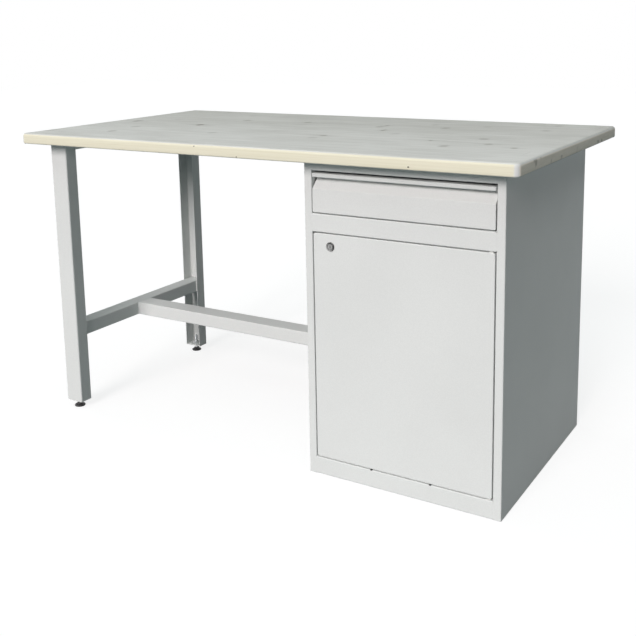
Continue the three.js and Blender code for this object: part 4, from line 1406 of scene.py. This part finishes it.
@dataclass
class LevellingFoot(SubAssembly):
    """Threaded stud with a moulded pad under one leg.

    The pad's disc is drawn by each ring's height above its sole and how far inside its edge it lies.
    """

    body: Body
    pitch: float = 1.75 * MM
    ridge: float = 0.75 * MM
    chamfer: float = 1.2 * MM
    stud_sides: int = 24
    disc: tuple[Span, ...] = (
        (0.0, 1.2 * MM), (0.4 * MM, 0.35 * MM), (1.0 * MM, 0.0),
        (3.4 * MM, 0.0), (4.0 * MM, 0.4 * MM), (4.3 * MM, 1.1 * MM),
    )
    boss_flats: float = 17 * MM
    boss_foot: float = 5.4 * MM
    boss_start: float = 5.6 * MM
    boss_edge: float = 0.5 * MM
    boss_foot_share: float = 0.66
    boss_top_share: float = 0.48
    pad_sides: int = 48

    def _stud(self) -> bpy.types.Mesh:
        """Makes the stud with its thread.

        Returns:
            The mesh.
        """
        node = f"{self.body.value}_stud"
        low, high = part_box(node)
        middle = middle_of(node)
        root = radius_of(node) - self.ridge
        rings = [(low.z, root), (high.z - self.chamfer, root), (high.z, root - self.chamfer)]
        core = turned("stud_core", rings, self.stud_sides)
        core.transform(Matrix.Translation((middle.x, middle.y, 0.0)))
        length = high.z - low.z - self.chamfer - 2 * self.ridge
        values = {
            "Turns": length / self.pitch,
            "Length": length,
            "Root radius": root,
            "Ridge": self.ridge,
            "Foot": (middle.x, middle.y, low.z + self.ridge),
            "Material": self.shop.palette[Slot.ZINC],
        }
        return self.shop.threads.run(core, values)

    def _pad(self) -> bpy.types.Mesh:
        """Makes the pad: a disc with a sloping shoulder and a hexagon boss for a spanner.

        Returns:
            The mesh.
        """
        node = f"{self.body.value}_pad"
        low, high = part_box(node)
        middle, radius = middle_of(node), radius_of(node)
        boss = hexagon_rule(self.boss_flats)
        rings: list[Ring] = [(low.z + height, radius - inset) for height, inset in self.disc]
        rings.append((low.z + self.boss_foot, self.boss_flats * self.boss_foot_share))
        rings += [(low.z + self.boss_start, boss), (high.z - self.boss_edge, boss)]
        rings.append((high.z, self.boss_flats * self.boss_top_share))
        mesh = turned("pad", rings, self.pad_sides)
        mesh.transform(Matrix.Translation((middle.x, middle.y, 0.0)))
        return mesh

    def build(self) -> None:
        """Builds the foot in the place of its plain solids."""
        foot = self.body.value
        self.keep(self._stud(), f"{foot}_thread", self.body, Slot.ZINC, f"{foot}_stud")
        self.keep(self._pad(), f"{foot}_moulding", self.body, Slot.PLASTIC, f"{foot}_pad")


@dataclass
class Stretcher(SubAssembly):
    """Tube from the leg frame's lower rail to a plate bolted to the cabinet."""

    bolt_offset: float = 42 * MM
    bolt_seed: int = 3
    nut_seed: int = 5
    side_sheet: float = 1.2 * MM
    weld_radius: float = 2.0 * MM
    weld_margin: float = 1.5 * MM
    weld_inset: float = 0.3 * MM

    def build(self) -> None:
        """Dresses the tube and its plate and adds beads, bolts and nuts."""
        self.dress(Slot.PAINT, "stretcher", "stretcher_end_plate")
        low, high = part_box("stretcher")
        plate_low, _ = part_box("stretcher_end_plate")
        side_low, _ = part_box("cabinet_left_side")
        start, end = low.z + self.weld_margin, high.z - self.weld_margin
        lines = []
        for x in (low.x + self.weld_inset, high.x - self.weld_inset):
            lines += [((x, y, start), (x, y, end)) for y in (low.y, high.y)]
        self.keep(self.weld(lines, self.weld_radius), "stretcher_welds", Body.BENCH, Slot.PAINT)
        middle = middle_of("stretcher")
        rows = [middle.y - self.bolt_offset, middle.y + self.bolt_offset]
        outside = [(plate_low.x, y, middle.z) for y in rows]
        inside = [(side_low.x + self.side_sheet, y, middle.z) for y in rows]
        heads = self.fasten(HexBolt(), outside, Facing.LEFT, Slot.ZINC, self.bolt_seed)
        nuts = self.fasten(HexNut(), inside, Facing.RIGHT, Slot.ZINC, self.nut_seed)
        self.keep(joined("bolts", [heads, nuts]), "stretcher_bolts", Body.BENCH, Slot.ZINC)


@dataclass
class Cabinet(SubAssembly):
    """Folded sheet carcass with front rails, floor, back, shelf and runner supports."""

    painted: tuple[str, ...] = (
        "cabinet_left_side", "cabinet_right_side", "cabinet_back", "cabinet_floor", "bottom_rail", "mid_rail",
        "top_rail", "top_angle_left", "top_angle_right", "shelf", "shelf_support_left", "shelf_support_right",
        "runner_support_left", "runner_support_right",
    )
    plated: tuple[str, ...] = (
        "runner_outer_left", "runner_outer_right", "runner_middle_left", "runner_middle_right",
    )
    angle_sheet: float = 1.2 * MM
    screw: PanScrew = PanScrew(washer_radius=7 * MM)
    screw_rows: tuple[float, ...] = (0.12, 0.5, 0.88)
    screw_seed: int = 17
    rivet_inset: float = 11 * MM
    rivet_rows: int = 6
    rivet_end: float = 60 * MM
    rivet_seed: int = 23
    buffer_seat: float = 0.05 * MM
    buffer_seed: int = 29
    tongue_half_width: float = 2.7 * MM
    tongue_thickness: float = 0.85 * MM
    hook_arc: float = math.radians(62)
    hook_steps: int = 6
    rail_fold: float = 2.7 * MM

    def _angle_screws(self) -> bpy.types.Mesh:
        """Makes the screws that hold the worktop through the top angles.

        Returns:
            One mesh of them all.
        """
        points = []
        for name in ("top_angle_left", "top_angle_right"):
            low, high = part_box(name)
            x, z = middle_of(name).x, high.z - self.angle_sheet
            points += [(x, y, z) for y in between(low.y, high.y, self.screw_rows)]
        return self.fasten(self.screw, points, Facing.DOWN, Slot.ZINC, self.screw_seed)

    def _back_rivets(self) -> bpy.types.Mesh:
        """Makes the rivets that hold the back to the sides' rear flanges.

        Returns:
            One mesh of them all.
        """
        low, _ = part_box("cabinet_left_side")
        _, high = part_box("cabinet_right_side")
        heights = spaced(low.z + self.rivet_end, high.z - self.rivet_end, self.rivet_rows)
        columns = (low.x + self.rivet_inset, high.x - self.rivet_inset)
        points = [(x, high.y, z) for x in columns for z in heights]
        return self.fasten(BLIND_RIVET, points, Facing.BACK, Slot.PAINT, self.rivet_seed)

    def _tongue(self, x: float, back: float) -> bpy.types.Mesh:
        """Makes a buffer's tongue, which lies on the bottom rail and hooks over its front fold.

        Args:
            x: The middle of its width.
            back: Where it meets the buffer.

        Returns:
            The mesh.
        """
        rail_low, rail_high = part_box("bottom_rail")
        centre_y, centre_z = rail_low.y + self.rail_fold, rail_high.z - self.rail_fold
        turns = spaced(0.0, self.hook_arc, self.hook_steps + 1)
        rims = []
        for radius in (self.rail_fold + self.buffer_seat, self.rail_fold + self.tongue_thickness):
            hook = [(centre_y - radius * math.sin(t), centre_z + radius * math.cos(t)) for t in turns]
            rims.append([(back, centre_z + radius), *hook])
        outline = rims[0] + rims[1][::-1]
        edges = (x - self.tongue_half_width, x + self.tongue_half_width)
        return skin("tongue", [[Vector((edge, y, z)) for y, z in outline] for edge in edges])

    def _buffers(self) -> bpy.types.Mesh:
        """Makes the two rubber buffers that the closed door meets, each with a tongue under the door's edge.

        Returns:
            One mesh of both.
        """
        points = []
        tongues = []
        for name in ("door_bumper_left", "door_bumper_right"):
            low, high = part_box(name)
            middle = middle_of(name)
            points.append((middle.x, high.y - self.buffer_seat, middle.z))
            tongues.append(self._tongue(middle.x, low.y + self.buffer_seat))
        domes = self.fasten(DomedBuffer(), points, Facing.FRONT, Slot.RUBBER, self.buffer_seed)
        return joined("buffers", [domes, *tongues])

    def build(self) -> None:
        """Dresses the carcass and adds its screws, rivets and buffers."""
        self.dress(Slot.PAINT, *self.painted)
        self.dress(Slot.ZINC, *self.plated)
        self.dress(Slot.NYLON, "door_bush_top", "door_bush_bottom")
        self.keep(self._angle_screws(), "cabinet_worktop_screws", Body.BENCH, Slot.ZINC)
        self.keep(self._back_rivets(), "cabinet_back_rivets", Body.BENCH, Slot.PAINT)
        bumpers = ("door_bumper_left", "door_bumper_right")
        self.keep(self._buffers(), "door_buffers", Body.BENCH, Slot.RUBBER, *bumpers)


@dataclass
class Drawer(SubAssembly):
    """Tray behind a folded front with a slanted finger band and a pull lip."""

    sheet: float = 1.0 * MM
    screw: PanScrew = PanScrew(radius=4.0 * MM, height=1.9 * MM, recess=1.2 * MM)
    screw_rows: tuple[float, ...] = (0.12, 0.5, 0.88)
    left_seed: int = 31
    right_seed: int = 37

    def build(self) -> None:
        """Dresses the drawer and adds the screws that fix its runners."""
        self.dress(Slot.PAINT, "drawer_front", "drawer_box")
        self.dress(Slot.ZINC, "runner_inner_left", "runner_inner_right")
        low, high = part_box("drawer_box")
        run_low, run_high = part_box("runner_inner_left")
        z = middle_of("runner_inner_left").z
        rows = between(run_low.y, run_high.y, self.screw_rows)
        walls = (
            (low.x + self.sheet, Facing.RIGHT, self.left_seed),
            (high.x - self.sheet, Facing.LEFT, self.right_seed),
        )
        screws = []
        for x, way, seed in walls:
            points = [(x, y, z) for y in rows]
            screws.append(self.fasten(self.screw, points, way, Slot.ZINC, seed))
        self.keep(joined("screws", screws), "drawer_runner_screws", Body.DRAWER, Slot.ZINC)


@dataclass
class Door(SubAssembly):
    """Pressed pan door on pivot pins, with a hat-section stiffener inside."""

    flange_inset: float = 5.5 * MM
    flange_sheet: float = 1.0 * MM
    spot_rows: int = 8
    spot_end: float = 40 * MM
    spot_seed: int = 41

    def build(self) -> None:
        """Dresses the door and adds the spot welds on its stiffener."""
        self.dress(Slot.PAINT, "door", "door_stiffener")
        self.dress(Slot.ZINC, "door_pin_top", "door_pin_bottom", "lock_nut", "lock_cam")
        low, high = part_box("door_stiffener")
        heights = spaced(low.z + self.spot_end, high.z - self.spot_end, self.spot_rows)
        columns = (low.x + self.flange_inset, high.x - self.flange_inset)
        points = [(x, low.y + self.flange_sheet, z) for x in columns for z in heights]
        spots = self.fasten(SPOT_MARK, points, Facing.BACK, Slot.PAINT, self.spot_seed)
        self.keep(spots, "door_spot_welds", Body.DOOR, Slot.PAINT)


@dataclass
class CamLock(SubAssembly):
    """Cam lock: a flanged housing in the door and a plug with a key slot.

    Rim and mouth draw the flange's outer and inner edges by each ring's depth behind the face and how far
    it lies inside the flange's edge, or outside the bore.
    """

    flange: float = 2.5 * MM
    barrel_inset: float = 2.5 * MM
    bore_gap: float = 0.3 * MM
    rim: tuple[Span, ...] = ((1.3 * MM, 0.0), (0.6 * MM, 0.35 * MM), (0.15 * MM, 1.1 * MM), (0.0, 2.1 * MM))
    mouth: tuple[Span, ...] = ((0.0, 0.9 * MM), (0.25 * MM, 0.3 * MM), (0.9 * MM, 0.0))
    housing_sides: int = 64
    plug_sink: float = 0.3 * MM
    plug_edge: float = 0.5 * MM
    plug_sides: int = 72
    key_width: float = 1.9 * MM
    key_height: float = 8.0 * MM
    key_depth: float = 6.0 * MM
    key_flare: float = 1.0 * MM
    key_bevel: float = 0.4 * MM

    def _stand(self, mesh: bpy.types.Mesh, middle: Vector) -> bpy.types.Mesh:
        """Turns a form made round Z to face the front, with height 0 at the frame's y of 0.

        Args:
            mesh: The form.
            middle: A point on its axis.

        Returns:
            The same mesh in its place.
        """
        turn = Matrix.Rotation(QUARTER_TURN, 4, "X")
        mesh.transform(Matrix.Translation((middle.x, 0.0, middle.z)) @ turn)
        return mesh

    def _housing(self) -> bpy.types.Mesh:
        """Makes the housing with its rounded flange.

        Returns:
            The mesh.
        """
        low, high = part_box("lock_body")
        face, back, edge = -low.y, -high.y, radius_of("lock_body")
        bore = radius_of("lock_plug") + self.bore_gap
        barrel, seat = edge - self.barrel_inset, face - self.flange
        rings: list[Ring] = [(back, bore), (back, barrel), (seat, barrel), (seat, edge)]
        rings += [(face - depth, edge - inset) for depth, inset in self.rim]
        rings += [(face - depth, bore + outset) for depth, outset in self.mouth]
        return self._stand(turned("housing", rings, self.housing_sides, ring=True), middle_of("lock_body"))

    def _plug(self) -> bpy.types.Mesh:
        """Makes the plug with its key slot.

        Returns:
            The mesh.
        """
        low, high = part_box("lock_plug")
        face, back, radius = -low.y - self.plug_sink, -high.y, radius_of("lock_plug")
        slot = slot_rule(self.key_width, self.key_height)
        flared = slot_rule(self.key_width + self.key_flare, self.key_height + self.key_flare)
        rings: list[Ring] = [(back, radius), (face - self.plug_edge, radius), (face, radius - self.plug_edge)]
        rings += [(face, flared), (face - self.key_bevel, slot), (face - self.key_depth, slot)]
        return self._stand(turned("plug", rings, self.plug_sides), middle_of("lock_plug"))

    def build(self) -> None:
        """Builds the lock's face in the place of its plain solids."""
        self.keep(self._housing(), "lock_housing", Body.DOOR, Slot.LOCK, "lock_body")
        self.keep(self._plug(), "lock_keyed_plug", Body.LOCK, Slot.LOCK, "lock_plug")


# Studio


def direction(azimuth: float, elevation: float) -> Vector:
    """Returns the direction in which a place lies, from its azimuth and elevation in degrees."""
    a, e = math.radians(azimuth), math.radians(elevation)
    return Vector((math.sin(a) * math.cos(e), -math.cos(a) * math.cos(e), math.sin(e)))


@dataclass(frozen=True)
class SunLamp:
    """Distant soft lamp: its azimuth and elevation, how wide it looks, in degrees, and how strong it is."""

    name: str
    azimuth: float
    elevation: float
    spread: float
    strength: float
    colour: Colour = WHITE
    distance: float = 4.0

    def build(self) -> None:
        """Adds the lamp to the scene."""
        lamp = bpy.data.lights.new(self.name, "SUN")
        lamp.energy = self.strength
        lamp.angle = math.radians(self.spread)
        lamp.color = self.colour
        piece = put(self.name, lamp)
        towards = direction(self.azimuth, self.elevation)
        piece.rotation_euler = towards.to_track_quat("Z", "Y").to_euler()
        piece.location = towards * self.distance


@dataclass
class Studio:
    """Pale floor, white surround, soft lamps and the camera."""

    floor_half: float = 14.0
    floor_drop: float = 0.5 * MM
    floor_glow: float = 0.80
    floor_show: float = 0.27
    floor_colour: Colour = (0.22, 0.262, 0.268)
    ambient: float = 0.025
    lamps: tuple[SunLamp, ...] = (
        SunLamp("key_lamp", 2.0, 24.5, spread=24.0, strength=2.94, colour=(1.0, 0.936, 0.934)),
        SunLamp("top_lamp", 0.0, 74.0, spread=60.0, strength=1.10, colour=(0.85, 1.0, 1.0)),
        SunLamp("left_lamp", 262.0, 6.0, spread=40.0, strength=0.82),
        SunLamp("rear_lamp", 180.0, 10.0, spread=50.0, strength=0.42),
    )
    camera_place: Point = (1.394, -2.249, 1.137)
    camera_azimuth: float = 31.54
    camera_elevation: float = 9.95
    camera_roll: float = -1.07
    focal_pixels: float = 932.4
    image_pixels: float = 636.0
    sensor: float = 36.0
    shift_up: float = -0.20
    far_limit: float = 100.0

    def _seen(self, tree: NodeTree) -> Socket:
        """Marks rays that show a surface: camera, glossy and transmission rays.

        Args:
            tree: The tree that asks.

        Returns:
            1 for such a ray and 0 for others.
        """
        rays = tree.add("ShaderNodeLightPath").outputs
        shown = tree.math("MAXIMUM", rays["Is Camera Ray"], rays["Is Glossy Ray"])
        return tree.math("MAXIMUM", shown, rays["Is Transmission Ray"])

    def _surround(self) -> None:
        """Makes the world: white where it is seen, and a plain soft light elsewhere."""
        world = bpy.data.worlds.new("white_surround")
        world.use_nodes = True
        world.node_tree.nodes.clear()
        tree = NodeTree(world.node_tree)
        soft = tree.out("ShaderNodeBackground", {"Color": (*WHITE, 1.0), "Strength": self.ambient})
        white = tree.out("ShaderNodeBackground", {"Color": (*WHITE, 1.0), "Strength": 1.0})
        mix = tree.out("ShaderNodeMixShader", {0: self._seen(tree), 1: soft, 2: white})
        tree.add("ShaderNodeOutputWorld", {"Surface": mix})
        bpy.context.scene.world = world

    def _floor_material(self) -> bpy.types.Material:
        """Makes the floor's material: near white where it is seen, with the object's shadow.

        Returns:
            The material.
        """
        tree = ShaderTree("pale_floor")
        glow = tree.out("ShaderNodeEmission", {"Strength": self.floor_glow})
        shade = tree.out("ShaderNodeBsdfDiffuse", {"Color": (*even(self.floor_show), 1.0)})
        both = tree.out("ShaderNodeAddShader", {0: glow, 1: shade})
        plain = tree.out("ShaderNodeBsdfDiffuse", {"Color": (*self.floor_colour, 1.0)})
        return tree.close(tree.out("ShaderNodeMixShader", {0: self._seen(tree), 1: plain, 2: both}))

    def _floor(self) -> None:
        """Lays the floor under the bench."""
        half, z = self.floor_half, -self.floor_drop
        corners = [(-half, -half, z), (half, -half, z), (half, half, z), (-half, half, z)]
        mesh = bpy.data.meshes.new("studio_floor")
        mesh.from_pydata(corners, [], [(0, 1, 2, 3)])
        mesh.materials.append(self._floor_material())
        floor = put("studio_floor", mesh)

    def _camera(self) -> None:
        """Sets the camera."""
        lens = bpy.data.cameras.new("camera")
        lens.sensor_width = self.sensor
        lens.lens = self.focal_pixels * self.sensor / self.image_pixels
        lens.shift_y = self.shift_up
        lens.clip_end = self.far_limit
        camera = put("camera", lens)
        a, r = math.radians(self.camera_azimuth), math.radians(self.camera_roll)
        back = direction(self.camera_azimuth, self.camera_elevation)
        level = Vector((math.cos(a), math.sin(a), 0.0))
        upright = back.cross(level)
        right = level * math.cos(r) + upright * math.sin(r)
        up = upright * math.cos(r) - level * math.sin(r)
        turn = Matrix((right, up, back)).transposed()
        camera.matrix_world = Matrix.Translation(self.camera_place) @ turn.to_4x4()
        bpy.context.scene.camera = camera

    def build(self) -> None:
        """Builds the studio."""
        self._surround()
        self._floor()
        for lamp in self.lamps:
            lamp.build()
        self._camera()
        bpy.context.scene.view_settings.view_transform = "Standard"


def main() -> None:
    """Builds the bench's sub-assemblies in order, then the studio."""
    logging.basicConfig(level=logging.INFO, format="%(name)s: %(message)s")
    shop = Workshop(make_palette(), FastenerTree(), WeldTree(), ThreadTree())
    parts: list[SubAssembly] = [
        Worktop(shop),
        LegFrame(shop),
        LevellingFoot(shop, Body.FRONT_FOOT),
        LevellingFoot(shop, Body.REAR_FOOT),
        Stretcher(shop),
        Cabinet(shop),
        Drawer(shop),
        Door(shop),
        CamLock(shop),
    ]
    for part in parts:
        part.build()
        LOG.info("%s built", type(part).__name__)
    Studio().build()


if __name__ == "__main__":
    main()
